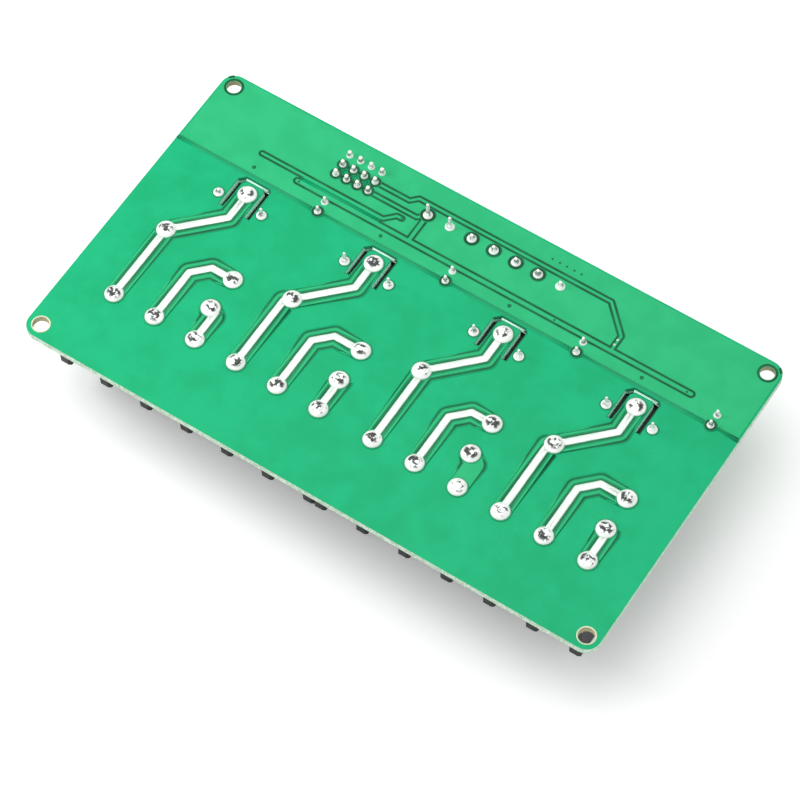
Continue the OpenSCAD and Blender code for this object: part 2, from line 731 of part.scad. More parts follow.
module chip(at, size) {
  on_components(at) {
    bar([size[0] - 2 * chip_cap, size[1], size[2]]);
    for (s = [-1, 1])
      bar([chip_cap + eps, size[1], size[2] + 0.04], [s * (size[0] - chip_cap) / 2, 0]);
  }
}

module channel_resistors() {
  color([0.15, 0.15, 0.16]) for (i = [0:channels - 1], r = [-1, 0, 1])
    chip([relay_x(i) + 9.2, chip_y + r * (resistor[1] + chip_gap)], resistor);
}

// The supply lamp and its resistor stand between the header and the input block
power_led_at = [input_x - input_l / 2 - header_gap / 2 + 1.2, input_y];
module power_led() {
  color([0.9, 0.9, 0.85]) chip(power_led_at, lamp_chip);
}

module power_resistor() {
  color([0.15, 0.15, 0.16])
    chip(power_led_at - [0, (lamp_chip[1] + resistor[1]) / 2 + 1.35], resistor);
}

circuit_board();
control_pour();
signal_tracks();
power_tracks();
tinned_strips();
relay_solder();
barrier_solder();
input_solder();
header_solder();
led_solder();
relay_case(0);  // relay_1_case
relay_case(1);  // relay_2_case
relay_case(2);  // relay_3_case
relay_case(3);  // relay_4_case
relay_base(0);  // relay_1_base
relay_base(1);  // relay_2_base
relay_base(2);  // relay_3_base
relay_base(3);  // relay_4_base
relay_leads(0);  // relay_1_leads
relay_leads(1);  // relay_2_leads
relay_leads(2);  // relay_3_leads
relay_leads(3);  // relay_4_leads
barrier_housing(0);  // barrier_1_housing
barrier_housing(1);  // barrier_2_housing
barrier_plates(0);  // barrier_1_plates
barrier_plates(1);  // barrier_2_plates
barrier_clamps(0);  // barrier_1_clamps
barrier_clamps(1);  // barrier_2_clamps
barrier_screws(0);  // barrier_1_screws
barrier_screws(1);  // barrier_2_screws
input_housing();
input_cages();
input_pins();
input_screws();
header_base();
header_pins();
jumper_cap(0);  // jumper_cap_1
jumper_cap(1);  // jumper_cap_2
jumper_cap(2);  // jumper_cap_3
jumper_cap(3);  // jumper_cap_4
led_lens(0);  // led_1_lens
led_lens(1);  // led_2_lens
led_lens(2);  // led_3_lens
led_lens(3);  // led_4_lens
led_leads_all();  // led_leads
optocoupler(0);  // optocoupler_1
optocoupler(1);  // optocoupler_2
optocoupler(2);  // optocoupler_3
optocoupler(3);  // optocoupler_4
transistor(0);  // transistor_1
transistor(1);  // transistor_2
transistor(2);  // transistor_3
transistor(3);  // transistor_4
flyback_diode(0);  // flyback_diode_1
flyback_diode(1);  // flyback_diode_2
flyback_diode(2);  // flyback_diode_3
flyback_diode(3);  // flyback_diode_4
channel_resistors();
power_led();
power_resistor();
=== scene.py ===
"""Dresses a four channel relay board that lies on its relays with the solder side up.

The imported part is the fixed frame. This script adds what a solid model leaves out:
sculpted solder joints, tinned tracks, the step of the mask over the copper, vias,
surface parts with separate leads, and a finish for every piece.
"""

import logging
import math
from dataclasses import dataclass
from enum import Enum
from functools import cache, cached_property
from typing import Callable, Iterable, Sequence, Union

import bmesh
import bpy
from mathutils import Matrix, Vector, noise


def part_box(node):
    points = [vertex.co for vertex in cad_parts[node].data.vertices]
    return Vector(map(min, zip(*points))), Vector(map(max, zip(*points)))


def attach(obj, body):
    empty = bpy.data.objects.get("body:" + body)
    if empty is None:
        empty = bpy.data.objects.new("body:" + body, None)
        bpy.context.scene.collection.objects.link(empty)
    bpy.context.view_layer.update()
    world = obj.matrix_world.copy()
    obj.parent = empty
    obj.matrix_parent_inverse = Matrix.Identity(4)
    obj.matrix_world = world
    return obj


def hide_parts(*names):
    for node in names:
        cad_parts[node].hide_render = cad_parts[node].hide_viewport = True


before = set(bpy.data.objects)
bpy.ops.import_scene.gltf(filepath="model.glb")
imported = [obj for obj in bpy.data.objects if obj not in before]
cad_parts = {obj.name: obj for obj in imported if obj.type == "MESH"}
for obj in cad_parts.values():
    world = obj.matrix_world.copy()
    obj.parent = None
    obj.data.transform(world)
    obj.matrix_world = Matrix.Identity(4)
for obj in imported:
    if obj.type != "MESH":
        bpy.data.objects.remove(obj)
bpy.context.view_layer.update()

LOG = logging.getLogger("relay_board")
MM = 0.001
Colour = tuple[float, float, float, float]
Loop = list[Vector]
Socket = bpy.types.NodeSocket
Value = Union[float, Sequence[float], Socket]


def tint(red: int, green: int, blue: int) -> Colour:
    """Turns an eight bit screen colour into the linear colour that shaders use.

    Args:
        red: Red, 0 to 255.
        green: Green, 0 to 255.
        blue: Blue, 0 to 255.

    Returns:
        The linear colour with full alpha.
    """
    def linear(value: int) -> float:
        """Gives one channel in linear light."""
        part = value / 255
        return part / 12.92 if part <= 0.04045 else ((part + 0.055) / 1.055) ** 2.4

    return linear(red), linear(green), linear(blue), 1.0


# ---------------------------------------------------------------- node trees


class Graph:
    """Adds nodes to one tree and joins their sockets."""

    def __init__(self, tree: bpy.types.NodeTree) -> None:
        """Starts from an empty tree.

        Args:
            tree: The node tree to fill.
        """
        self.tree = tree
        tree.nodes.clear()

    def add(self, kind: str, values: dict | None = None,
            **settings: object) -> bpy.types.Node:
        """Adds one node.

        Args:
            kind: Blender's node type, without the ShaderNode prefix.
            values: Input names with a number, a colour or a socket to join.
            **settings: Attributes of the node itself.

        Returns:
            The new node.
        """
        name = kind if kind.startswith("NodeGroup") else "ShaderNode" + kind
        node = self.tree.nodes.new(name)
        for key, value in settings.items():
            setattr(node, key, value)
        for key, value in (values or {}).items():
            self.put(node.inputs[key], value)
        return node

    def put(self, socket: Socket, value: Value) -> None:
        """Sets an input socket, or joins another socket to it.

        Args:
            socket: The input.
            value: A number, a colour or an output socket.
        """
        if isinstance(value, Socket):
            self.tree.links.new(value, socket)
        else:
            socket.default_value = value

    def maths(self, operation: str, first: Value, second: Value = 0.0,
              clamp: bool = False) -> Socket:
        """Adds a Math node.

        Args:
            operation: Blender's name of the operation.
            first: First number or socket.
            second: Second number or socket.
            clamp: Keeps the result from 0 to 1.

        Returns:
            The result socket.
        """
        node = self.add("Math", operation=operation, use_clamp=clamp)
        self.put(node.inputs[0], first)
        self.put(node.inputs[1], second)
        return node.outputs[0]

    def blend(self, share: Value, first: Value, second: Value) -> Socket:
        """Mixes two colours.

        Args:
            share: Share of the second colour, a number or socket.
            first: First colour or socket.
            second: Second colour or socket.

        Returns:
            The mixed colour socket.
        """
        node = self.add("Mix", data_type="RGBA")
        self.put(node.inputs[0], share)
        self.put(node.inputs[6], first)
        self.put(node.inputs[7], second)
        return node.outputs[2]

    def between(self, value: Value, low: float, high: float, to_low: float = 0.0,
                to_high: float = 1.0) -> Socket:
        """Maps a value softly from one range to another.

        Args:
            value: The socket to map.
            low: Start of the range.
            high: End of the range.
            to_low: Result at the start.
            to_high: Result at the end.

        Returns:
            The mapped value socket.
        """
        node = self.add("MapRange", interpolation_type="SMOOTHSTEP")
        for slot, item in zip(node.inputs, (value, low, high, to_low, to_high)):
            self.put(slot, item)
        return node.outputs[0]

    def vector(self, operation: str, *items: Value) -> bpy.types.bpy_prop_collection:
        """Adds a Vector Math node.

        Args:
            operation: Blender's name of the operation.
            *items: Vectors or sockets, in order.

        Returns:
            The node's outputs.
        """
        node = self.add("VectorMath", operation=operation)
        for socket, item in zip(node.inputs, items):
            self.put(socket, item)
        return node.outputs

    def dress(self, shader: bpy.types.Node, **values: Value) -> None:
        """Sets or joins several inputs of a shader.

        Args:
            shader: The Principled shader.
            **values: Input names, with underscores for spaces, and what goes to them.
        """
        for key, value in values.items():
            self.put(shader.inputs[key.replace("_", " ")], value)

    def attribute(self, name: str) -> Socket:
        """Gives the value that the mesh carries under a name."""
        return self.add("Attribute", attribute_name=name).outputs["Fac"]

    def place(self) -> Socket:
        """Gives the object coordinates, which are metres here."""
        return self.add("TexCoord").outputs["Object"]

    def speckle(self, scale: Value, detail: float = 3.0, rough: float = 0.5,
                at: Socket | None = None) -> Socket:
        """Adds a noise texture and gives its value socket.

        Args:
            scale: Noise scale, a number or socket.
            detail: Octaves.
            rough: Weight of the finer octaves.
            at: Coordinates, or the object's own where None.

        Returns:
            The noise value socket.
        """
        coords = at if at is not None else self.place()
        node = self.add("TexNoise", {"Vector": coords, "Scale": scale, "Detail": detail,
                                     "Roughness": rough})
        return node.outputs[0]

    def bump(self, height: Value, depth: float, strength: float = 1.0) -> Socket:
        """Adds a Bump node.

        Args:
            height: Height socket.
            depth: Real depth of the relief in metres.
            strength: Strength of the effect.

        Returns:
            The normal socket.
        """
        node = self.add("Bump", {"Height": height, "Distance": depth, "Strength": strength})
        return node.outputs[0]


class Effect:
    """One shader node group with named inputs and outputs, built once and shared."""

    made: dict[str, bpy.types.NodeTree] = {}

    def __init__(self, name: str, inputs: dict[str, float], outputs: Sequence[str],
                 fill: Callable[[Graph, dict, dict], None]) -> None:
        """Describes the group.

        Args:
            name: Name of the group.
            inputs: Input names with their usual values.
            outputs: Names of the value outputs.
            fill: Joins the nodes between the input and output sockets.
        """
        self.name, self.inputs, self.outputs, self.fill = name, inputs, outputs, fill

    def tree(self) -> bpy.types.NodeTree:
        """Gives the group's tree, building it the first time."""
        if self.name not in self.made:
            tree = bpy.data.node_groups.new(self.name, "ShaderNodeTree")
            for key, value in self.inputs.items():
                socket = tree.interface.new_socket(key, in_out="INPUT",
                                                   socket_type="NodeSocketFloat")
                socket.default_value = value
            for key in self.outputs:
                tree.interface.new_socket(key, in_out="OUTPUT", socket_type="NodeSocketFloat")
            graph = Graph(tree)
            start = graph.add("NodeGroupInput")
            end = graph.add("NodeGroupOutput")
            self.fill(graph, {key: start.outputs[key] for key in self.inputs},
                      {key: end.inputs[key] for key in self.outputs})
            self.made[self.name] = tree
        return self.made[self.name]

    def use(self, graph: Graph, **values: float) -> bpy.types.bpy_prop_collection:
        """Places the group in a material.

        Args:
            graph: The material's graph.
            **values: Input values, with underscores for spaces.

        Returns:
            The outputs of the group node.
        """
        node = graph.add("Group", node_tree=self.tree())
        for key, value in values.items():
            graph.put(node.inputs[key.replace("_", " ")], value)
        return node.outputs


def fill_grain(graph: Graph, start: dict, end: dict) -> None:
    """Joins a fine relief and a broad tone.

    Args:
        graph: The group's graph.
        start: Input sockets.
        end: Output sockets.
    """
    graph.put(end["Height"], graph.speckle(start["Scale"], 4.0, 0.55))
    broad = graph.maths("MULTIPLY", start["Scale"], 0.09)
    graph.put(end["Tone"], graph.between(graph.speckle(broad, 2.0), 0.3, 0.7))


def fill_weave(graph: Graph, start: dict, end: dict) -> None:
    """Joins the crossing threads of glass cloth under the mask.

    Args:
        graph: The group's graph.
        start: Input sockets.
        end: Output sockets.
    """
    waves = []
    for direction in ("X", "Y"):
        wave = graph.add("TexWave", {"Vector": graph.place(), "Scale": start["Scale"],
                                     "Distortion": 1.2, "Detail": 1.0, "Detail Scale": 0.6},
                         wave_type="BANDS", bands_direction=direction, wave_profile="SIN")
        waves.append(wave.outputs[1])
    crossed = graph.maths("MULTIPLY", waves[0], waves[1])
    graph.put(end["Height"], crossed)
    patch = graph.between(graph.speckle(120.0, 2.0), 0.42, 0.62)
    graph.put(end["Threads"], graph.maths("MULTIPLY", crossed, patch))


def fill_dust(graph: Graph, start: dict, end: dict) -> None:
    """Joins small specks that settle on faces that look up.

    Args:
        graph: The group's graph.
        start: Input sockets.
        end: Output sockets.
    """
    up = graph.add("SeparateXYZ", {"Vector": graph.add("NewGeometry").outputs["Normal"]})
    flat = graph.between(up.outputs[2], 0.2, 0.9, 0.25, 1.0)
    spots = graph.between(graph.speckle(start["Scale"], 5.0, 0.7), 0.6, 0.78)
    graph.put(end["Mask"], graph.maths("MULTIPLY", graph.maths("MULTIPLY", spots, flat),
                                       start["Cover"], clamp=True))


def fill_marks(graph: Graph, start: dict, end: dict) -> None:
    """Joins long fine marks of handling and tooling.

    Args:
        graph: The group's graph.
        start: Input sockets.
        end: Output sockets.
    """
    stretch = graph.add("Mapping", {"Vector": graph.place(), "Scale": (1.0, 0.07, 0.3),
                                    "Rotation": (0.0, 0.0, 0.5)})
    lines = graph.speckle(start["Scale"], 3.0, 0.6, at=stretch.outputs[0])
    graph.put(end["Lines"], graph.between(lines, 0.35, 0.75))
    graph.put(end["Tone"], graph.between(graph.speckle(300.0, 2.0), 0.35, 0.65))


def fill_flux_and_reflection(graph: Graph, start: dict, end: dict) -> None:
    """Joins the crinkled grey skin near a lead, partly flux where solder froze against it and
    partly painted reflection of the dark lead.

    Args:
        graph: The group's graph.
        start: Input sockets.
        end: Output sockets.
    """
    near = graph.attribute("near_lead")
    folds = graph.speckle(start["Scale"], 2.0, 0.6)
    broken = graph.between(folds, 0.46, 0.56)
    zone = graph.between(near, 0.25, 0.75)
    graph.put(end["Mask"], graph.maths("MULTIPLY", graph.maths("MULTIPLY", broken, zone),
                                       start["Amount"], clamp=True))
    graph.put(end["Height"], graph.maths("MULTIPLY", folds, zone))


GRAIN = Effect("fine grain", {"Scale": 2500.0}, ("Height", "Tone"), fill_grain)
WEAVE = Effect("glass weave", {"Scale": 300.0}, ("Height", "Threads"), fill_weave)
DUST = Effect("settled dust", {"Scale": 900.0, "Cover": 0.2}, ("Mask",), fill_dust)
MARKS = Effect("handling marks", {"Scale": 1200.0}, ("Lines", "Tone"), fill_marks)
FLUX_AND_REFLECTION = Effect("flux crinkle and painted reflection", {"Scale": 1500.0, "Amount": 1.0}, ("Mask", "Height"), fill_flux_and_reflection)


# ---------------------------------------------------------------- finishes

MASK_SHINE = 0.18

@dataclass(frozen=True)
class Finish:
    """A named finish. Subclasses join its nodes."""

    name: str

    def material(self) -> bpy.types.Material:
        """Gives the material, building it the first time."""
        known = bpy.data.materials.get(self.name)
        if known is None:
            known = bpy.data.materials.new(self.name)
            known.use_nodes = True
            graph = Graph(known.node_tree)
            shader = graph.add("BsdfPrincipled")
            output = graph.add("OutputMaterial")
            graph.put(output.inputs["Surface"], shader.outputs[0])
            self.paint(graph, shader)
        return known

    def paint(self, graph: Graph, shader: bpy.types.Node) -> None:
        """Joins the finish's nodes to the shader.

        Args:
            graph: The material's graph.
            shader: The Principled shader.
        """
        raise NotImplementedError


@dataclass(frozen=True)
class BoardFinish(Finish):
    """Green mask on both faces of a glass laminate, with bare sawn edges and bores."""

    mask: Colour = tint(10, 176, 119)
    mask_deep: Colour = tint(4, 167, 110)
    edge: Colour = tint(214, 236, 219)
    edge_low: Colour = tint(180, 205, 178)
    bore: Colour = tint(188, 184, 150)
    # slot walls are paler than the bores: painted glow of light shining through the laminate
    slot: Colour = tint(200, 250, 228)
    corner: tuple[float, float] = (61.5 * MM, 32.8 * MM)
    edge_from: float = 2.7 * MM
    slots_below: float = 25.0 * MM
    gloss: float = 0.42
    wall_rough: float = 0.8
    relief: float = 0.006 * MM
    weave_scale: float = 620.0
    grain_scale: float = 1800.0
    dust_scale: float = 1400.0
    dust_cover: float = 0.10
    threads_show: float = 0.06
    thread: Colour = tint(70, 205, 150)
    dust: Colour = tint(150, 225, 190)

    def paint(self, graph: Graph, shader: bpy.types.Node) -> None:
        """Joins mask, sawn edge, drilled bore and routed slot, whose pale wall colour is painted
        glow of light through the laminate.

        Args:
            graph: The material's graph.
            shader: The Principled shader.
        """
        facing = graph.add("SeparateXYZ", {"Vector": graph.add("NewGeometry").outputs["Normal"]})
        flat = graph.between(graph.maths("ABSOLUTE", facing.outputs[2]), 0.4, 0.6)
        size = graph.vector("ABSOLUTE", graph.place())[0]
        beyond = graph.vector("SUBTRACT", size, (*self.corner, 1.0))[0]
        far = graph.vector("LENGTH", graph.vector("MAXIMUM", beyond)[0])["Value"]
        outer = graph.maths("GREATER_THAN", far, self.edge_from)
        across = graph.add("SeparateXYZ", {"Vector": size})
        slotted = graph.maths("LESS_THAN", across.outputs[1], self.slots_below)

        weave = WEAVE.use(graph, Scale=self.weave_scale)
        grain = GRAIN.use(graph, Scale=self.grain_scale)
        dust = DUST.use(graph, Scale=self.dust_scale, Cover=self.dust_cover)
        mask = graph.blend(grain["Tone"], self.mask, self.mask_deep)
        threads = graph.maths("MULTIPLY", weave["Threads"], self.threads_show)
        mask = graph.blend(threads, mask, self.thread)
        mask = graph.blend(dust["Mask"], mask, self.dust)
        sawn = graph.blend(graph.between(grain["Height"], 0.4, 0.6), self.edge, self.edge_low)
        # routed slot walls take the pale colour of painted glow
        inner = graph.blend(slotted, self.bore, self.slot)
        wall = graph.blend(outer, inner, sawn)
        height = graph.maths("ADD", weave["Height"],
                             graph.maths("MULTIPLY", grain["Height"], 0.5))
        graph.dress(shader, Base_Color=graph.blend(flat, wall, mask),
                    Roughness=graph.between(flat, 0.0, 1.0, self.wall_rough, self.gloss),
                    Normal=graph.bump(height, self.relief, 0.5),
                    Specular_IOR_Level=MASK_SHINE)


@dataclass(frozen=True)
class MaskFinish(Finish):
    """Green mask over copper."""

    body: Colour = tint(42, 183, 121)
    shade: Colour = tint(36, 176, 114)
    dust: Colour = tint(160, 225, 190)
    dust_cover: float = 0.08
    gloss: float = 0.4
    weave: float = 600.0
    relief: float = 0.005 * MM

    def paint(self, graph: Graph, shader: bpy.types.Node) -> None:
        """Joins tone, dust and a faint weave.

        Args:
            graph: The material's graph.
            shader: The Principled shader.
        """
        grain = GRAIN.use(graph, Scale=2200.0)
        weave = WEAVE.use(graph, Scale=self.weave)
        dust = DUST.use(graph, Scale=1500.0, Cover=self.dust_cover)
        colour = graph.blend(grain["Tone"], self.body, self.shade)
        rough = graph.between(grain["Height"], 0.2, 0.8, self.gloss - 0.05, self.gloss + 0.08)
        height = graph.maths("ADD", graph.maths("MULTIPLY", weave["Height"], 0.6),
                             graph.maths("MULTIPLY", grain["Height"], 0.5))
        graph.dress(shader, Base_Color=graph.blend(dust["Mask"], colour, self.dust),
                    Roughness=rough, Normal=graph.bump(height, self.relief, 0.5),
                    Specular_IOR_Level=MASK_SHINE)


@dataclass(frozen=True)
class StepFinish(Finish):
    """Mask that dips from copper to bare laminate, darker where it pools thicker and with painted
    shade along the step.
    """

    bare: Colour = tint(8, 172, 115)
    over: Colour = tint(40, 180, 118)
    # dark line of pooled mask and painted shade beside copper, slots and pads
    dark: Colour = tint(0, 74, 42)
    gloss: float = 0.42
    relief: float = 0.004 * MM
    least_dark: float = 0.86

    def paint(self, graph: Graph, shader: bpy.types.Node) -> None:
        """Joins the two masks, the dark line and a fine grain; the dark line is partly pooled mask
        and partly painted shade.

        Args:
            graph: The material's graph.
            shader: The Principled shader.
        """
        grain = GRAIN.use(graph, Scale=2400.0)
        mask = graph.blend(graph.attribute("over_copper"), self.bare, self.over)
        patchy = graph.between(grain["Tone"], 0.0, 1.0, self.least_dark, 1.0)
        uneven = graph.maths("MULTIPLY", graph.attribute("pool_and_shade"), patchy, clamp=True)
        rough = graph.between(grain["Height"], 0.2, 0.8, self.gloss - 0.04, self.gloss + 0.08)
        graph.dress(shader, Base_Color=graph.blend(uneven, mask, self.dark), Roughness=rough,
                    Normal=graph.bump(grain["Height"], self.relief, 0.4),
                    Specular_IOR_Level=MASK_SHINE)


@dataclass(frozen=True)
class TinFinish(Finish):
    """Tin and solder, bright where it flowed and grey near a lead: crinkled flux and painted
    reflection.
    """

    bright: Colour = tint(250, 252, 250)
    dull: Colour = tint(240, 244, 241)
    grey: Colour = tint(70, 72, 70)
    roughness: float = 0.34
    crinkle: float = 1.0
    metallic: float = 0.35
    grey_metallic: float = 0.6
    relief: float = 0.05 * MM

    def paint(self, graph: Graph, shader: bpy.types.Node) -> None:
        """Joins bright tin, soft marks and the grey skin near the lead, partly crinkled flux and
        partly painted reflection.

        Args:
            graph: The material's graph.
            shader: The Principled shader.
        """
        marks = MARKS.use(graph, Scale=900.0)
        flux = FLUX_AND_REFLECTION.use(graph, Scale=850.0, Amount=self.crinkle)
        tin = graph.blend(marks["Tone"], self.bright, self.dull)
        metal = graph.between(flux["Mask"], 0.0, 1.0, self.metallic, self.grey_metallic)
        rough = graph.between(marks["Lines"], 0.0, 1.0, self.roughness, self.roughness + 0.15)
        height = graph.maths("ADD", flux["Height"], graph.maths("MULTIPLY", marks["Lines"], 0.1))
        graph.dress(shader, Base_Color=graph.blend(flux["Mask"], tin, self.grey), Metallic=metal,
                    Roughness=rough, Normal=graph.bump(height, self.relief, 0.6))


@dataclass(frozen=True)
class MetalFinish(Finish):
    """Plated or bare metal with tooling marks."""

    body: Colour = tint(205, 206, 203)
    shade: Colour = tint(160, 160, 156)
    roughness: float = 0.32
    metallic: float = 0.95
    relief: float = 0.01 * MM

    def paint(self, graph: Graph, shader: bpy.types.Node) -> None:
        """Joins tone, tooling marks and dust.

        Args:
            graph: The material's graph.
            shader: The Principled shader.
        """
        marks = MARKS.use(graph, Scale=1800.0)
        dust = DUST.use(graph, Scale=1300.0, Cover=0.15)
        colour = graph.blend(marks["Tone"], self.body, self.shade)
        rough = graph.between(marks["Lines"], 0.0, 1.0, self.roughness, self.roughness + 0.2)
        graph.dress(shader, Base_Color=graph.blend(dust["Mask"], colour, self.shade),
                    Metallic=self.metallic, Roughness=rough,
                    Normal=graph.bump(marks["Lines"], self.relief, 0.5))


@dataclass(frozen=True)
class PlasticFinish(Finish):
    """Moulded plastic with a fine spark grain."""

    body: Colour = tint(34, 35, 37)
    shade: Colour = tint(26, 27, 29)
    roughness: float = 0.45
    relief: float = 0.012 * MM
    dust_cover: float = 0.12
    dust: Colour = tint(150, 152, 150)
    shine: float = 0.4

    def paint(self, graph: Graph, shader: bpy.types.Node) -> None:
        """Joins tone, spark grain and dust.

        Args:
            graph: The material's graph.
            shader: The Principled shader.
        """
        grain = GRAIN.use(graph, Scale=3800.0)
        dust = DUST.use(graph, Scale=1100.0, Cover=self.dust_cover)
        colour = graph.blend(grain["Tone"], self.body, self.shade)
        rough = graph.between(grain["Height"], 0.3, 0.7, self.roughness, self.roughness + 0.12)
        graph.dress(shader, Base_Color=graph.blend(dust["Mask"], colour, self.dust),
                    Roughness=rough, Normal=graph.bump(grain["Height"], self.relief, 0.7),
                    Specular_IOR_Level=self.shine)


@dataclass(frozen=True)
class ResinFinish(Finish):
    """Tinted lamp resin that lets some light through."""

    body: Colour = tint(196, 34, 30)
    dust: Colour = tint(220, 190, 185)
    depth: float = 0.7
    roughness: float = 0.12
    relief: float = 0.004 * MM
    clear: float = 0.35
    index: float = 1.5

    def paint(self, graph: Graph, shader: bpy.types.Node) -> None:
        """Joins tint, faint haze and dust.

        Args:
            graph: The material's graph.
            shader: The Principled shader.
        """
        grain = GRAIN.use(graph, Scale=900.0)
        dust = DUST.use(graph, Scale=1300.0, Cover=0.15)
        deep = tuple(part * self.depth for part in self.body[:3]) + (1.0,)
        colour = graph.blend(grain["Tone"], self.body, deep)
        rough = graph.between(grain["Height"], 0.3, 0.7, self.roughness, self.roughness + 0.1)
        graph.dress(shader, Base_Color=graph.blend(dust["Mask"], colour, self.dust),
                    Roughness=rough, Normal=graph.bump(grain["Height"], self.relief, 0.4),
                    Transmission_Weight=self.clear, IOR=self.index)


class Use(Enum):
    """The finishes of this board, by what carries them."""

    BOARD = BoardFinish("green mask on laminate")
    COPPER = MaskFinish("mask over copper")
    STEP = StepFinish("mask step")
    JOINT = TinFinish("solder joint")
    # grey of pin joints near the lead is crinkled flux and painted reflection
    CONE = TinFinish("pin joint", tint(255, 255, 255), tint(250, 253, 251), tint(96, 90, 84),
                     crinkle=0.75, metallic=0.08)
    TRACK = TinFinish("tinned track", tint(226, 236, 228), tint(214, 226, 217), crinkle=0.0)
    RIM = PlasticFinish("bare laminate", tint(226, 232, 200), tint(205, 210, 172), 0.6)
    # pale colour is painted glow: light shining through the laminate at the slot's bar
    SLOT_GLOW = PlasticFinish("slot edge with painted glow", tint(206, 250, 232), tint(190, 242, 220), 0.6)
    LEAD = MetalFinish("tinned lead", tint(150, 150, 146), tint(104, 104, 100), 0.35)
    PLATED = MetalFinish("plated steel")
    BRASS = MetalFinish("tinned brass", tint(214, 211, 200), tint(180, 176, 160), 0.28)
    GOLD = MetalFinish("gold pin", tint(214, 178, 96), tint(186, 150, 74), 0.25)
    CASE = PlasticFinish("relay case", tint(32, 33, 35), tint(24, 25, 27), 0.38)
    BASE = PlasticFinish("relay base", tint(44, 45, 48), tint(36, 37, 40), 0.5)
    BARRIER = PlasticFinish("barrier plastic", tint(28, 29, 31), tint(22, 23, 25), 0.42)
    INPUT = PlasticFinish("input plastic", tint(40, 128, 88), tint(34, 118, 80), 0.4)
    HEADER = PlasticFinish("header plastic", tint(26, 26, 28), tint(20, 20, 22), 0.45)
    CHIP = PlasticFinish("chip resin", tint(30, 31, 32), tint(24, 25, 26), 0.55)
    CERAMIC = PlasticFinish("resistor ceramic", tint(232, 230, 224), tint(216, 214, 206), 0.5)
    LAMP = ResinFinish("lamp resin")
    PRINT = PlasticFinish("white board print", tint(236, 240, 236), tint(222, 228, 222), 0.6)


# ---------------------------------------------------------------- shapes

END_DEPTH = 0.02 * MM
WELD = 0.002 * MM
LEVEL_SLACK = 0.01 * MM
TINY = 1e-6


@dataclass(frozen=True)
class Island:
    """One solid of a CAD node, by its corner points."""

    points: tuple[Vector, ...]

    def box(self, part: Callable[[Vector], bool] = lambda point: True) -> tuple[Vector, Vector]:
        """Gives the lowest and highest corner of some of the points.

        Args:
            part: Tells which points count.

        Returns:
            The two corners.
        """
        chosen = [point for point in self.points if part(point)]
        low, high = (Vector(pick(point[axis] for point in chosen) for axis in range(3))
                     for pick in (min, max))
        return low, high

    @property
    def low(self) -> Vector:
        """Lowest corner."""
        return self.box()[0]

    @property
    def high(self) -> Vector:
        """Highest corner."""
        return self.box()[1]

    def end(self, top: bool = True) -> tuple[Vector, Vector]:
        """Gives the box of the points at the top end, or at the bottom end.

        Args:
            top: Whether the top end is meant.

        Returns:
            The two corners.
        """
        level = (self.high if top else self.low).z
        return self.box(lambda point: abs(point.z - level) < END_DEPTH)


def welded(node: str) -> bmesh.types.BMesh:
    """Copies a CAD node's mesh and joins its doubled corners.

    Args:
        node: Name of the CAD node.

    Returns:
        The welded copy, which the caller frees.
    """
    shape = bmesh.new()
    shape.from_mesh(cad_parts[node].data)
    bmesh.ops.remove_doubles(shape, verts=shape.verts, dist=WELD)
    shape.verts.ensure_lookup_table()
    return shape


def islands(node: str) -> list[Island]:
    """Finds the separate solids of a CAD node.

    Args:
        node: Name of the CAD node.

    Returns:
        The islands in order of place.
    """
    shape = welded(node)
    seen: set[int] = set()
    found: list[Island] = []
    for start in shape.verts:
        if start.index in seen:
            continue
        group, queue = [], [start]
        seen.add(start.index)
        while queue:
            vert = queue.pop()
            group.append(vert.co.copy())
            for edge in vert.link_edges:
                other = edge.other_vert(vert)
                if other.index not in seen:
                    seen.add(other.index)
                    queue.append(other)
        found.append(Island(tuple(group)))
    shape.free()
    return sorted(found, key=lambda one: (round(one.low.x, 5), round(one.low.y, 5)))


def top_loops(node: str, level: float) -> list[Loop]:
    """Finds the outlines of the faces of a node that look up at one level.

    Each outline runs with the face on its left, so its right side looks out.

    Args:
        node: Name of the CAD node.
        level: Height of the faces.

    Returns:
        The closed outlines.
    """
    shape = welded(node)
    tops = [face for face in shape.faces
            if face.normal.z > 0.9 and abs(face.calc_center_median().z - level) < LEVEL_SLACK]
    among = set(tops)
    following: dict[int, list[int]] = {}
    for face in tops:
        for corner in face.loops:
            if all(other is face or other not in among for other in corner.edge.link_faces):
                following.setdefault(corner.vert.index, []).append(
                    corner.link_loop_next.vert.index)
    outlines: list[Loop] = []
    while following:
        here = next(iter(following))
        trail: Loop = []
        while here in following:
            trail.append(shape.verts[here].co.copy())
            onward = following[here].pop()
            if not following[here]:
                del following[here]
            here = onward
        outlines.append(trail)
    shape.free()
    return [straightened(loop) for loop in outlines if len(loop) > 2]


def straightened(loop: Loop, least: float = 0.02 * MM) -> Loop:
    """Drops the points of an outline that lie on a straight run or on each other.

    Args:
        loop: The closed outline.
        least: Shortest run between neighbours that counts.

    Returns:
        The outline with its real corners only.
    """
    kept: Loop = []
    count = len(loop)
    for index, point in enumerate(loop):
        before, after = loop[index - 1], loop[(index + 1) % count]
        run = after - before
        if run.length < least:
            continue
        off = (point - before).cross(run).length / run.length
        if off > least / 8:
            kept.append(point)
    return kept if len(kept) > 2 else loop


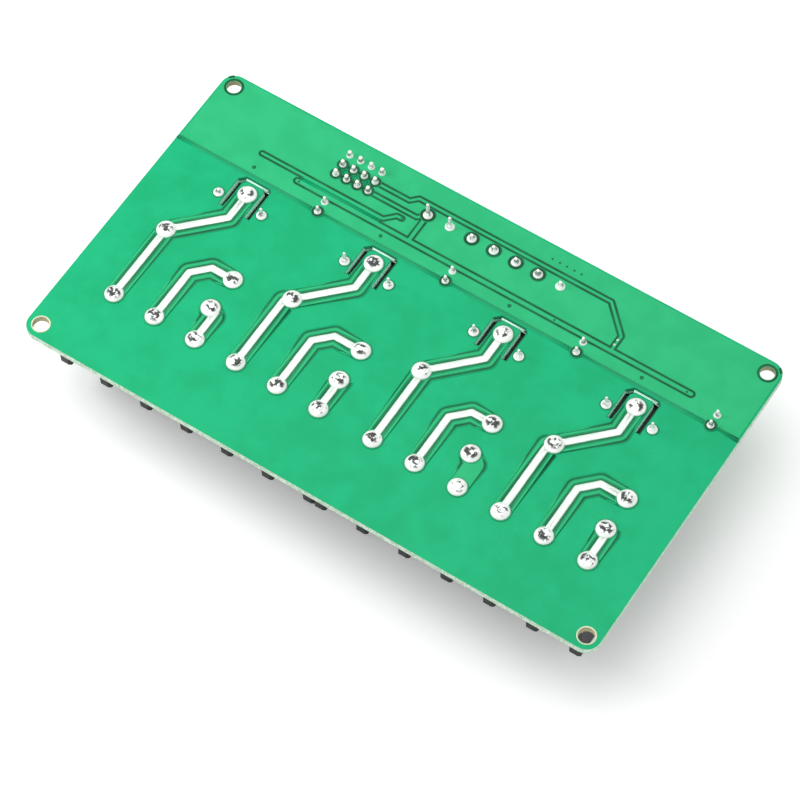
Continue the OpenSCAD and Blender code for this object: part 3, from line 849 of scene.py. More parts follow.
def offset(loop: Loop, out: float, rise: float = 0.0) -> Loop:
    """Moves an outline sideways with mitred corners.

    Args:
        loop: The closed outline, with its solid on the left.
        out: Distance to the right, which is outwards.
        rise: Change of height.

    Returns:
        The moved outline, point for point.
    """
    moved: Loop = []
    count = len(loop)
    for index, point in enumerate(loop):
        first = point - loop[index - 1]
        second = loop[(index + 1) % count] - point
        first.z = second.z = 0.0
        left, right = first.normalized(), second.normalized()
        normal = Vector((left.y, -left.x, 0.0))
        middle = normal + Vector((right.y, -right.x, 0.0))
        if middle.length < TINY:
            middle = normal.copy()
        middle.normalize()
        reach = out / max(0.5, middle.dot(normal))
        moved.append(point + middle * reach + Vector((0.0, 0.0, rise)))
    return moved


def resampled(loop: Loop, step: float) -> Loop:
    """Cuts the long runs of an outline into short ones.

    Args:
        loop: The closed outline.
        step: Longest run that stays whole.

    Returns:
        The outline with more points.
    """
    dense: Loop = []
    for index, point in enumerate(loop):
        onward = loop[(index + 1) % len(loop)]
        parts = max(1, math.ceil((onward - point).length / step))
        dense.extend(point.lerp(onward, part / parts) for part in range(parts))
    return dense


def circle(parts: int) -> list[float]:
    """Gives the angles of evenly spaced points round a circle."""
    return [2 * math.pi * part / parts for part in range(parts)]


def disc(x: float, y: float, radius: float, level: float, parts: int) -> Loop:
    """Gives a level circle of points.

    Args:
        x: Centre.
        y: Centre.
        radius: Radius.
        level: Height.
        parts: Number of points.

    Returns:
        The points, anticlockwise from above.
    """
    return [Vector((x + radius * math.cos(turn), y + radius * math.sin(turn), level))
            for turn in circle(parts)]


class Shape:
    """A mesh under construction, with one finish for each part of it."""

    def __init__(self, name: str) -> None:
        """Starts an empty mesh.

        Args:
            name: Name of the piece.
        """
        self.name = name
        self.mesh = bmesh.new()
        for layer in ("near_lead", "pool_and_shade", "over_copper"):
            self.mesh.verts.layers.float.new(layer)
        self.uses: list[Use] = []

    def number(self, use: Use) -> int:
        """Gives the slot number of a finish, adding it the first time."""
        if use not in self.uses:
            self.uses.append(use)
        return self.uses.index(use)

    def ring(self, points: Iterable[Vector], near: float = 0.0, pool_and_shade: float = 0.0,
             over: float = 0.0) -> list[bmesh.types.BMVert]:
        """Adds a row of points.

        Args:
            points: The places.
            near: How near to a lead the points are, from 0 to 1.
            pool_and_shade: How dark the mask is there from pooling and painted shade, from 0 to 1.
            over: 1 over copper, 0 over bare laminate.

        Returns:
            The new vertices.
        """
        row = [self.mesh.verts.new(point) for point in points]
        for layer, value in (("near_lead", near), ("pool_and_shade", pool_and_shade), ("over_copper", over)):
            key = self.mesh.verts.layers.float[layer]
            for vert in row:
                vert[key] = value
        return row

    def band(self, rows: Sequence[Sequence[bmesh.types.BMVert]], use: Use,
             kept: Sequence[bool] | None = None) -> None:
        """Joins rows that run along an outline into a closed band, open where asked.

        Args:
            rows: The rows, which go round the band's section.
            use: Its finish.
            kept: Whether the band is there from each point to the next, all where None.
        """
        count = len(rows[0])
        kept = kept or [True] * count
        for index in range(count):
            if not kept[index]:
                continue
            onward = (index + 1) % count
            for lower, upper in zip(rows, list(rows[1:]) + [rows[0]]):
                self.face((lower[index], lower[onward], upper[onward], upper[index]), use)
            if not kept[index - 1]:
                self.face([row[index] for row in rows], use)
            if not kept[onward]:
                self.face([row[onward] for row in reversed(rows)], use)

    def face(self, corners: Sequence[bmesh.types.BMVert], use: Use) -> None:
        """Adds one face.

        Args:
            corners: The corners in order.
            use: Its finish.
        """
        made = self.mesh.faces.new(corners)
        made.material_index = self.number(use)
        made.smooth = True

    def skin(self, rows: Sequence[Sequence[bmesh.types.BMVert]], use: Use) -> None:
        """Joins closed rows of equal length into a skin.

        Args:
            rows: The rows, each running the same way round.
            use: The skin's finish.
        """
        for lower, upper in zip(rows, rows[1:]):
            count = len(lower)
            for index in range(count):
                onward = (index + 1) % count
                self.face((lower[index], lower[onward], upper[onward], upper[index]), use)

    def cap(self, row: Sequence[bmesh.types.BMVert], use: Use, up: bool = True) -> None:
        """Closes a row with one face.

        Args:
            row: The row, running anticlockwise seen from above.
            use: The cap's finish.
            up: Whether the cap looks up.
        """
        self.face(list(row) if up else list(reversed(row)), use)

    def solid(self, rows: Sequence[Sequence[bmesh.types.BMVert]], use: Use) -> None:
        """Joins closed rows into a skin and closes both ends.

        Args:
            rows: The rows, from the end that looks down to the end that looks up.
            use: The finish.
        """
        self.skin(rows, use)
        self.cap(rows[-1], use)
        self.cap(rows[0], use, up=False)

    def block(self, low: Sequence[float], high: Sequence[float], use: Use,
              bevel: float = 0.0, steps: int = 2) -> None:
        """Adds a box with rounded edges.

        Args:
            low: Lowest corner.
            high: Highest corner.
            use: Its finish.
            bevel: Radius of the edges.
            steps: Facets of the rounding.
        """
        size = Vector(high) - Vector(low)
        middle = (Vector(high) + Vector(low)) / 2
        place = Matrix.Translation(middle) @ Matrix.Diagonal((*size, 1.0))
        made = bmesh.ops.create_cube(self.mesh, size=1.0, matrix=place)["verts"]
        faces = list(dict.fromkeys(face for vert in made for face in vert.link_faces))
        if bevel:
            edges = list(dict.fromkeys(edge for vert in made for edge in vert.link_edges))
            result = bmesh.ops.bevel(self.mesh, geom=edges, offset=bevel, segments=steps,
                                     profile=0.5, affect="EDGES", clamp_overlap=True)
            faces = [face for face in faces if face.is_valid] + list(result["faces"])
        for face in faces:
            face.material_index = self.number(use)
            face.smooth = bool(bevel)

    def piece(self, slot: str, replaces: Sequence[str] = ()) -> bpy.types.Object:
        """Args:
            slot: Not used.
            replaces: CAD nodes that the piece stands for.

        Returns:
            The new object.
        """
        loose = [vert for vert in self.mesh.verts if not vert.link_faces]
        bmesh.ops.delete(self.mesh, geom=loose, context="VERTS")
        bmesh.ops.dissolve_degenerate(self.mesh, edges=self.mesh.edges, dist=0.0005 * MM)
        bmesh.ops.recalc_face_normals(self.mesh, faces=self.mesh.faces)
        data = bpy.data.meshes.new(self.name)
        self.mesh.to_mesh(data)
        self.mesh.free()
        for use in self.uses:
            data.materials.append(use.value.material())
        made = bpy.data.objects.new(self.name, data)
        bpy.context.scene.collection.objects.link(made)
        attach(made, "root")
        if replaces:
            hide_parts(*replaces)
        LOG.info("%s: %d faces", self.name, len(data.polygons))
        return made


def wobble(place: Vector, scale: float, seed: float = 0.0) -> float:
    """Gives a smooth repeatable wobble from -1 to 1.

    Args:
        place: The point.
        scale: Length of one wave.
        seed: Shifts the pattern.

    Returns:
        The wobble at the point.
    """
    return noise.noise(place / scale + Vector((seed, seed * 0.37, -seed * 0.61)))


# ---------------------------------------------------------------- levels

BOARD_LOW, BOARD_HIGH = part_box("circuit_board")
PLATE_LOW = BOARD_LOW.z
PLATE_TOP = BOARD_HIGH.z
COPPER_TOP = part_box("power_tracks")[1].z
SOLDER_NODES = ("relay_solder", "barrier_solder", "input_solder", "header_solder", "led_solder")


# ---------------------------------------------------------------- solder side

@dataclass(frozen=True)
class Pad:
    """One soldered pad: its centre, radius, plated bore and the rise of its solder."""

    x: float
    y: float
    radius: float
    bore: float
    top: float

    @classmethod
    def of(cls, solder: Island) -> "Pad":
        """Reads the pad from the CAD solder in it.

        Args:
            solder: The island of CAD solder.

        Returns:
            The pad.
        """
        low, high = solder.box()
        barrel = solder.end(top=False)
        return cls((low.x + high.x) / 2, (low.y + high.y) / 2, (high.x - low.x) / 2,
                   (barrel[1].x - barrel[0].x) / 2, high.z)

    def circle(self, radius: float, level: float, parts: int) -> Loop:
        """Gives a circle of points round the pad's centre.

        Args:
            radius: Radius of the circle.
            level: Its height.
            parts: Number of points.

        Returns:
            The points, anticlockwise from above.
        """
        return disc(self.x, self.y, radius, level, parts)


@cache
def all_pads() -> list[Pad]:
    """Lists every soldered pad of the board."""
    return [Pad.of(solder) for node in SOLDER_NODES for solder in islands(node)]


def pad_beside(point: Vector, reach: float) -> Pad | None:
    """Finds the pad whose rim lies within a distance of a point.

    Args:
        point: The point.
        reach: The distance from the rim, either way.

    Returns:
        The pad, or None.
    """
    for pad in all_pads():
        if abs(math.hypot(point.x - pad.x, point.y - pad.y) - pad.radius) < reach:
            return pad
    return None


@dataclass
class MaskSteps:
    """The soft dark line where the mask dips beside copper, slots and pads, partly mask pooled
    thicker and partly painted shade.

    A section lists distance from the copper's edge, share of the drop to the bare
    laminate, depth of the dark line and whether copper lies below.
    """

    edge: tuple[tuple[float, float, float, float], ...] = (
        (-0.2, 0.0, 0.0, 1.0), (-0.02, 0.05, 0.5, 1.0), (0.12, 0.5, 0.95, 0.5),
        (0.34, 0.85, 0.9, 0.0), (0.5, 0.97, 0.4, 0.0), (0.74, 1.0, 0.0, 0.0))
    pour_edge: tuple[tuple[float, float, float, float], ...] = (
        (-0.16, 0.0, 0.0, 1.0), (0.0, 0.05, 0.35, 1.0), (0.16, 0.5, 0.6, 0.5),
        (0.34, 0.9, 0.5, 0.0), (0.6, 0.97, 0.25, 0.0), (0.95, 1.0, 0.0, 0.0))
    channel: tuple[tuple[float, float, float, float], ...] = (
        (-0.14, 0.0, 0.0, 1.0), (0.0, 0.1, 0.8, 1.0), (0.1, 0.3, 1.0, 0.5),
        (0.28, 0.3, 1.0, 0.5), (0.38, 0.1, 0.8, 1.0), (0.52, 0.0, 0.0, 1.0))
    tin_edge: tuple[tuple[float, float, float, float], ...] = (
        (-0.06, 0.0, 0.6, 1.0), (0.2, 0.0, 0.8, 1.0), (0.42, 0.0, 0.6, 1.0),
        (0.6, 0.0, 0.0, 1.0))
    # a thin line of painted shade along the edge of each slot
    slot_edge_shade: tuple[tuple[float, float, float, float], ...] = (
        (0.01, 0.0, 0.75, 0.0), (-0.08, 0.0, 0.6, 0.0), (-0.2, 0.0, 0.0, 0.0))
    wide_ring: tuple[tuple[float, float, float], ...] = (
        (-0.05, 0.7, 1.0), (0.08, 0.6, 1.0), (0.24, 0.0, 1.0))
    narrow_ring: tuple[tuple[float, float, float], ...] = (
        (-0.05, 0.6, 0.0), (0.12, 0.6, 0.0), (0.22, 0.35, 0.0), (0.36, 0.0, 0.0))
    wide_pad: float = 1.5 * MM
    well_floor: float = 0.7
    well_lip: float = 0.08
    well_gaps: tuple[float, float] = (0.1 * MM, 0.7 * MM)
    ring_lift: float = 0.018 * MM
    # how dark and how far in the painted shade over narrow bare areas lies
    painted_shade_depth: float = 0.3
    painted_shade_inset: float = 0.1 * MM
    lift: float = 0.012 * MM
    body: float = 0.03 * MM
    rim_zone: float = 0.9 * MM
    track_width: float = 0.65 * MM
    supply_width: float = 0.92 * MM
    channel_step: float = 6.0 * MM
    pour_step: float = 0.3 * MM
    at_rim: float = 0.07 * MM
    pour_slack: float = 0.05 * MM
    ring_parts: int = 40

    def build(self) -> None:
        """Builds the lines beside the copper, the tin and the slots, then the pad rings."""
        drop = COPPER_TOP - PLATE_TOP
        shape = Shape("mask_steps")
        for loop in top_loops("power_tracks", COPPER_TOP):
            self.line(shape, loop, self.edge, COPPER_TOP, drop)
        pour_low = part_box("control_pour")[0].y
        for loop in top_loops("control_pour", COPPER_TOP):
            dense = resampled(loop, self.channel_step)
            self.line(shape, dense, self.channel, COPPER_TOP, drop, lambda point: (
                point.y > pour_low + self.rim_zone))
            self.line(shape, dense, self.pour_edge, COPPER_TOP, drop, lambda point: (
                point.y < pour_low + self.pour_slack))
        for loop in top_loops("tinned_strips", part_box("tinned_strips")[1].z):
            level = [Vector((point.x, point.y, COPPER_TOP)) for point in loop]
            self.line(shape, level, self.tin_edge, COPPER_TOP, 0.0)
        # painted shade along each slot's edge
        for loop in top_loops("circuit_board", PLATE_TOP):
            if is_slot(loop):
                self.line(shape, loop, self.slot_edge_shade, PLATE_TOP, 0.0)
        # painted shade over the narrow bare areas between the pads and tracks
        for low, high in self.painted_shade_areas():
            self.paint_shade(shape, low, high)
        shape.piece("laminate")
        rings = Shape("mask_rings")
        for pad in all_pads():
            self.ring(rings, pad)
        rings.piece("laminate")

    def painted_shade_areas(self) -> list[tuple[Vector, Vector]]:
        """Lists the narrow bare areas inside the pour that get painted shade, by their corners."""
        tracks = sorted(islands("signal_tracks"), key=lambda one: one.low.y)
        supply = tracks[0]
        link = min(tracks[1:], key=lambda one: one.low.x)
        pins = [Pad.of(solder) for solder in islands("header_solder")]
        lower = [pad for pad in pins if pad.y < max(pin.y for pin in pins) - 1.0 * MM]
        half = link.low.y + self.track_width
        foot = min(point.y for point in supply.points) + self.supply_width
        west = supply.low.x + self.track_width
        east = min(point.x for point in link.points if point.y > half + 0.5 * MM) - 1.0 * MM
        return [(Vector((west, foot, 0.0)), Vector((east, link.low.y, 0.0))),
                (Vector((min(pad.x for pad in lower), min(pad.y for pad in lower), 0.0)),
                 Vector((max(pad.x for pad in lower), max(pad.y for pad in lower), 0.0)))]

    def paint_shade(self, shape: Shape, low: Vector, high: Vector) -> None:
        """Adds a thin dark skin of painted shade over a narrow bare area between pads and tracks.

        Args:
            shape: The mesh to add to.
            low: Lowest corner.
            high: Highest corner.
        """
        inset = Vector((self.painted_shade_inset, self.painted_shade_inset, 0.0))
        low, high = low + inset, high - inset
        rows = []
        for level in (PLATE_TOP - self.body, PLATE_TOP + self.lift):
            rows.append(shape.ring([Vector((x, y, level)) for x, y in
                                    ((low.x, low.y), (high.x, low.y), (high.x, high.y),
                                     (low.x, high.y))], 0.0, self.painted_shade_depth, 0.0))
        shape.solid(rows, Use.STEP)

    def line(self, shape: Shape, loop: Loop, section: Sequence[tuple[float, ...]],
             level: float, drop: float,
             where: Callable[[Vector], bool] = lambda point: True) -> None:
        """Adds the line along one outline.

        Args:
            shape: The mesh to add to.
            loop: The outline.
            section: The line's section.
            level: Height of the copper or board.
            drop: Height that the section comes down.
            where: Tells at which points the line is wanted.
        """
        rows = []
        for reach, share, pool_and_shade, over in section:
            row = offset(loop, reach * MM, self.lift - drop * share)
            rows.append(shape.ring([self.outside(point) for point in row], 0.0, pool_and_shade, over))
        for reach, share, pool_and_shade, over in (section[-1], section[0]):
            row = offset(loop, reach * MM, -self.body - drop * share)
            rows.append(shape.ring([self.outside(point) for point in row], 0.0, pool_and_shade, over))
        kept = []
        for index, point in enumerate(loop):
            onward = loop[(index + 1) % len(loop)]
            middle = (point + onward) / 2
            rim = BOARD_HIGH.x - abs(middle.x), BOARD_HIGH.y - middle.y
            kept.append(where(point) and where(onward) and min(rim) > self.rim_zone
                        and pad_beside(middle, self.at_rim) is None)
        shape.band(rows, Use.STEP, kept)

    def outside(self, point: Vector) -> Vector:
        """Moves a point that lies in a pad out to the pad's rim, and keeps it on the board.

        Args:
            point: The point.

        Returns:
            The point, or its place on the rim.
        """
        edge = BOARD_HIGH.x - self.body
        point.x = max(-edge, min(edge, point.x))
        for pad in all_pads():
            across, along = point.x - pad.x, point.y - pad.y
            away = math.hypot(across, along)
            if 0.0 < away < pad.radius:
                scale = pad.radius / away
                return Vector((pad.x + across * scale, pad.y + along * scale, point.z))
        return point

    def ring(self, shape: Shape, pad: Pad) -> None:
        """Adds the ring of bare mask edge round one pad, with a dark line of pooled mask and
        painted shade, darkest in a well in the pour.

        Args:
            shape: The mesh to add to.
            pad: The pad.
        """
        well = self.well(pad)
        if pad.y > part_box("control_pour")[0].y and not well:
            return
        level = COPPER_TOP + self.ring_lift
        if well:
            lip = self.well_lip * MM
            section = ((-0.05 * MM, 1.0, 0.5), (well * self.well_floor, 1.0, 0.5),
                       (well + lip, 0.9, 1.0), (well + 3 * lip, 0.0, 1.0))
        else:
            wide = pad.radius > self.wide_pad
            named = self.wide_ring if wide else self.narrow_ring
            section = tuple((reach * MM, pool_and_shade, over) for reach, pool_and_shade, over in named)
            level = level if wide else PLATE_TOP + self.ring_lift
        rows = [shape.ring(pad.circle(pad.radius + reach, level, self.ring_parts), 0.0, pool_and_shade, over)
                for reach, pool_and_shade, over in section]
        for reach, pool_and_shade, over in (section[-1], section[0]):
            rows.append(shape.ring(pad.circle(pad.radius + reach, level - self.body,
                                              self.ring_parts), 0.0, pool_and_shade, over))
        shape.band(rows, Use.STEP)

    def well(self, pad: Pad) -> float:
        """Measures the gap between a pad and the pour round it, 0 where they touch.

        Args:
            pad: The pad.

        Returns:
            The gap.
        """
        gaps = [math.hypot(point.x - pad.x, point.y - pad.y) - pad.radius
                for loop in self.pour_loops for point in loop]
        near = min(gaps, default=0.0)
        return near if self.well_gaps[0] < near < self.well_gaps[1] else 0.0

    @cached_property
    def pour_loops(self) -> list[Loop]:
        """Outlines of the pour."""
        return [resampled(loop, self.pour_step) for loop in top_loops("control_pour", COPPER_TOP)]


SLOT_REACH = (3.0 * MM, 12.0 * MM)


def is_slot(loop: Loop) -> bool:
    """Tells the outline of a routed slot from holes and the board's own edge.

    Args:
        loop: The closed outline.

    Returns:
        Whether it is a slot.
    """
    middle = sum(loop, Vector()) / len(loop)
    reach = max((point - middle).length for point in loop)
    return SLOT_REACH[0] < reach < SLOT_REACH[1]


@dataclass
class BoreRims:
    """Bare laminate round the mounting holes, and along the bars of the slots a line of painted
    shade and a pale edge whose colour is painted glow of light through the laminate.
    """

    hole_rim: float = 0.26 * MM
    lift: float = 0.01 * MM
    from_middle: float = 30.0 * MM
    largest: float = 3.0 * MM
    rim_fall: float = 0.015 * MM
    rim_body: float = 0.06 * MM
    bar_zone: float = 1.25 * MM
    bar_lip: float = 0.2 * MM
    bar_bevel: float = 0.62 * MM
    bar_drop: float = 0.36 * MM
    bar_body: float = 0.3 * MM
    bar_sink: float = 0.02 * MM
    bar_root: float = 0.05 * MM
    # darkness of the painted shade at the bar's edge
    bar_painted_shade: float = 0.8
    inner_side: tuple[float, float] = (0.7 * MM, 0.8 * MM)
    level_slack: float = 0.1 * MM

    def build(self) -> None:
        """Builds a rim round each mounting hole and an edge along each slot's bar."""
        shape = Shape("bore_rims")
        for loop in top_loops("circuit_board", PLATE_TOP):
            middle = sum(loop, Vector()) / len(loop)
            reach = max((point - middle).length for point in loop)
            if abs(middle.y) > self.from_middle and reach < self.largest:
                section = ((-self.hole_rim, self.lift), (0.0, self.lift),
                           (self.rim_fall, -self.rim_body), (-self.hole_rim, -self.rim_body))
                rows = [shape.ring(offset(loop, out, rise)) for out, rise in section]
                shape.band(rows, Use.RIM)
            elif is_slot(loop):
                self.slot_bar(shape, loop)
        shape.piece("laminate")

    def slot_bar(self, shape: Shape, loop: Loop) -> None:
        """Adds a line of painted shade and a pale edge of painted glow along the bar of one slot.

        Args:
            shape: The mesh to add to.
            loop: The slot's outline, with the board on its left.
        """
        top = max(point.y for point in loop)
        onward = loop[1:] + loop[:1]
        near, far = self.inner_side

        def wanted(point: Vector) -> bool:
            """Tells the points of the bar's outer side and ends."""
            inner = abs(point.y - top) > near and point.y > top - far
            return point.y > top - self.bar_zone and not inner

        def row(out: float, drop: float) -> list[bmesh.types.BMVert]:
            """Adds a row beside the slot's outline."""
            return shape.ring(offset(loop, out, -drop), 0.0, self.bar_painted_shade)

        kept = [wanted(point) and wanted(after) for point, after in zip(loop, onward)]
        lip, body, sink = self.bar_lip, self.bar_body, self.bar_sink
        shape.band([row(0.0, sink), row(lip, lip), row(lip, lip + body),
                    row(-self.bar_root, body)], Use.STEP, kept)
        straight = [keep and abs(point.y - after.y) < self.level_slack
                    for keep, point, after in zip(kept, loop, onward)]
        shape.band([row(lip - sink, lip), row(self.bar_bevel, self.bar_drop),
                    row(self.bar_bevel, self.bar_drop + body), row(lip - sink, lip + body)],
                   Use.SLOT_GLOW, straight)


@dataclass
class TinnedTracks:
    """Solder that flowed along the bare strips of the power tracks."""

    step: float = 0.5 * MM
    ripple: float = 0.035 * MM
    swell: float = 0.02 * MM
    under_joint: float = 0.18 * MM
    share_of_half: float = 0.8
    fill: float = 0.9
    at_rim: float = 0.12 * MM
    profile: tuple[tuple[float, float], ...] = ((0.0, 0.0), (-0.04, 0.45), (-0.12, 0.75),
                                                (-0.28, 0.94), (-0.5, 1.0))

    def build(self) -> None:
        """Builds a rounded strip over each strip of the CAD node."""
        low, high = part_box("tinned_strips")
        shape = Shape("tinned_tracks")
        for loop in top_loops("tinned_strips", high.z):
            self.strip(shape, resampled(loop, self.step), low.z, high.z - low.z)
        shape.piece("solder", ["tinned_strips"])

    def strip(self, shape: Shape, loop: Loop, base: float, rise: float) -> None:
        """Adds one strip.

        Args:
            shape: The mesh to add to.
            loop: The strip's outline.
            base: Height of the track under it.
            rise: Height of the solder.
        """
        room = half_widths(loop)
        soldered = [pad_beside(point, self.at_rim) for point in loop]
        rows = []
        for inward, share in self.profile:
            row = []
            for point, moved, half, pad in zip(loop, offset(loop, inward * MM), room, soldered):
                if pad:
                    to_pad = Vector((pad.x - point.x, pad.y - point.y, 0.0)).normalized()
                    place = point + to_pad * self.under_joint
                else:
                    run = moved - point
                    run.z = 0.0
                    if run.length > half * self.share_of_half:
                        run = run.normalized() * half * self.share_of_half
                    place = point + run
                    loose = 1.0 - share * 0.5
                    place.x += self.ripple * wobble(point, 1.6 * MM, 3.0) * loose
                    place.y += self.ripple * wobble(point, 1.4 * MM, 5.0) * loose
                crown = rise * self.fill + self.swell * wobble(point, 2.5 * MM, 7.0)
                place.z = base + share * crown
                row.append(place)
            rows.append(shape.ring(row))
        shape.solid(rows, Use.TRACK)


PARALLEL = 1e-12
SIDE_SLACK = 0.001


def half_widths(loop: Loop) -> list[float]:
    """Measures the room inside an outline at each point.

    Args:
        loop: The closed outline, with its solid on the left.

    Returns:
        Half the distance to the opposite side, point for point.
    """
    count = len(loop)
    room = []
    for index, point in enumerate(loop):
        inward = offset([loop[index - 1], point, loop[(index + 1) % count]], -1.0)[1]
        run = (inward - point).to_2d().normalized()
        nearest = 1.0
        start = point.to_2d()
        for other in range(count):
            after = (other + 1) % count
            if index in (other, after):
                continue
            first, second = loop[other].to_2d(), loop[after].to_2d()
            side = second - first
            cross = run.x * side.y - run.y * side.x
            if abs(cross) < PARALLEL:
                continue
            gap = first - start
            along = (gap.x * side.y - gap.y * side.x) / cross
            share = (gap.x * run.y - gap.y * run.x) / cross
            if along > TINY and -SIDE_SLACK <= share <= 1 + SIDE_SLACK:
                nearest = min(nearest, along)
        room.append(nearest / 2)
    return room


class Lead(Enum):
    """Section of a lead that comes through the board, by its roundness."""

    FLAT = 9.0
    SQUARE = 8.0


@dataclass
class JointStyle:
    """How one kind of joint froze."""

    lead: Lead
    profile: tuple[tuple[float, float], ...]
    crumple: float = 0.1 * MM
    crumple_scale: float = 0.45 * MM
    coat: float = 0.03 * MM
    # grey on the lead's tip: flux and painted reflection
    tip_grey: float = 0.9
    parts: int = 36
    use: Use = Use.JOINT
    loosen: float = 2.2
    fine_share: float = 0.5
    fine_scale: float = 0.45
    firm_below: float = 0.05


TIP_COAT = 0.02 * MM
TIP_ROWS = ((0.35, 1.0), (0.92, 0.99), (1.0, 0.8))
SEED_STEP = 1.7
FINE_SEED = 9.0
LOW_DOME = ((1.0, 0.0), (0.985, 0.10), (0.93, 0.26), (0.84, 0.42), (0.72, 0.57), (0.58, 0.71),
            (0.44, 0.83), (0.30, 0.92), (0.16, 0.98), (0.0, 1.0))
CONE = ((1.0, 0.0), (0.97, 0.07), (0.88, 0.18), (0.74, 0.28), (0.58, 0.40), (0.42, 0.54),
        (0.27, 0.70), (0.13, 0.86), (0.0, 1.0))


@dataclass
class JointRow:
    """All joints of one CAD node, with the tinned tips of the leads in them."""

    name: str
    solder: str
    leads: tuple[str, ...]
    style: JointStyle
    small: JointStyle | None = None
    small_below: float = 1.5 * MM

    def build(self) -> None:
        """Builds a joint over each island of the solder node."""
        tips = [lead.end() for node in self.leads for lead in islands(node)]
        shape = Shape(self.name)
        for number, solder in enumerate(islands(self.solder)):
            pad = Pad.of(solder)
            tip = min(tips, key=lambda box: math.hypot((box[0].x + box[1].x) / 2 - pad.x,
                                                       (box[0].y + box[1].y) / 2 - pad.y))
            style = self.small if self.small and pad.radius < self.small_below else self.style
            self.joint(shape, pad, tip, style, float(number) * SEED_STEP + len(self.name))
        shape.piece("solder", [self.solder])

    def joint(self, shape: Shape, pad: Pad, tip: tuple[Vector, Vector], style: JointStyle,
              seed: float) -> None:
        """Adds one joint and the coated tip of its lead.

        Args:
            shape: The mesh to add to.
            pad: The pad under the joint.
            tip: Lowest and highest corner of the lead's end face.
            style: How it froze.
            seed: Shifts its own folds.
        """
        rise = pad.top - COPPER_TOP
        centre = Vector((pad.x, pad.y, 0.0))
        half = (tip[1] - tip[0]) / 2 + Vector((style.coat, style.coat, 0.0))
        rows = [shape.ring(pad.circle(radius, level, style.parts))
                for radius, level in ((pad.bore, PLATE_LOW), (pad.bore, PLATE_TOP),
                                      (pad.radius, PLATE_TOP))]
        for reach, share in style.profile:
            row = []
            for turn in circle(style.parts):
                inner = self.rim(half, style.lead, turn)
                outer = Vector((math.cos(turn), math.sin(turn), 0.0)) * pad.radius
                point = centre + inner.lerp(outer, reach)
                fine = wobble(point, style.crumple_scale * style.fine_scale, seed + FINE_SEED)
                fold = wobble(point, style.crumple_scale, seed) + style.fine_share * fine
                loose = min(1.0, style.loosen * (1.0 - reach)) if share > style.firm_below else 0.0
                point.z = COPPER_TOP + share * rise + style.crumple * fold * loose
                row.append(point)
            rows.append(shape.ring(row, 1.0 - reach))
        end = tip[1].z + TIP_COAT
        for share, shrink in TIP_ROWS:
            level = pad.top + (end - pad.top) * share
            row = []
            for turn in circle(style.parts):
                point = centre + self.rim(half, style.lead, turn) * shrink
                point.z = level
                row.append(point)
            rows.append(shape.ring(row, style.tip_grey))
        shape.solid(rows, style.use)

    def rim(self, half: Vector, lead: Lead, turn: float) -> Vector:
        """Gives a point on the lead's rounded section.

        Args:
            half: Half sizes of the section.
            lead: The kind of section.
            turn: Angle round the lead.

        Returns:
            The point from the lead's centre.
        """
        across, along = math.cos(turn), math.sin(turn)
        power = lead.value
        reach = ((abs(across) / half.x) ** power + (abs(along) / half.y) ** power) ** (-1 / power)
        return Vector((across * reach, along * reach, 0.0))


@dataclass
class Vias:
    """Small plated holes: most lie under the mask, some were left bare."""

    tented: tuple[tuple[float, float], ...] = (
        (-47.4, 19.15), (-17.5, 19.15), (12.2, 19.15), (42.0, 19.15))
    bare: tuple[tuple[float, float], ...] = ((33.8, 23.8), (33.8, 22.6))
    dots: tuple[tuple[float, float], ...] = (
        (13.6, 32.7), (15.3, 32.7), (16.9, 32.7), (18.6, 32.7), (20.2, 32.7),
        (21.2, 21.1), (50.8, 21.1), (-38.0, 21.1), (-16.2, 24.75))
    land: float = 0.42 * MM
    dot: float = 0.24 * MM
    open_land: float = 0.264 * MM
    tent_rise: float = 0.03 * MM
    dot_rise: float = 0.02 * MM
    tin_rise: float = 0.06 * MM
    section: tuple[tuple[float, float, float], ...] = (
        (1.0, 0.0, 0.3), (0.85, 1.0, 1.0), (0.6, 1.0, 1.0), (0.4, 0.4, 0.7))
    parts: int = 20

    def build(self) -> None:
        """Builds the covered and the bare vias."""
        covered = Shape("tented_vias")
        for place in self.tented:
            self.via(covered, place, Use.STEP, self.tent_rise, self.land)
        for place in self.dots:
            self.via(covered, place, Use.STEP, self.dot_rise, self.dot)
        covered.piece("laminate")
        open_vias = Shape("bare_vias")
        for place in self.bare:
            self.via(open_vias, place, Use.TRACK, self.tin_rise, self.open_land)
        open_vias.piece("solder")

    def via(self, shape: Shape, place: tuple[float, float], use: Use, rise: float,
            land: float) -> None:
        """Adds one via as a low ring with a closed dimple.

        Args:
            shape: The mesh to add to.
            place: Centre in millimetres.
            use: Finish of the ring.
            rise: Height of the ring over the copper.
            land: Radius of the ring.
        """
        rows = []
        for reach, level, pool_and_shade in self.section:
            rows.append(shape.ring(
                disc(place[0] * MM, place[1] * MM, land * reach, COPPER_TOP + rise * level,
                     self.parts), 0.0, pool_and_shade, 1.0))
        shape.skin(rows, use)
        shape.cap(rows[-1], Use.STEP)
        shape.cap(rows[0], use, up=False)


# ---------------------------------------------------------------- component side

CHANNELS = range(1, 5)
DOT_PARTS = 16

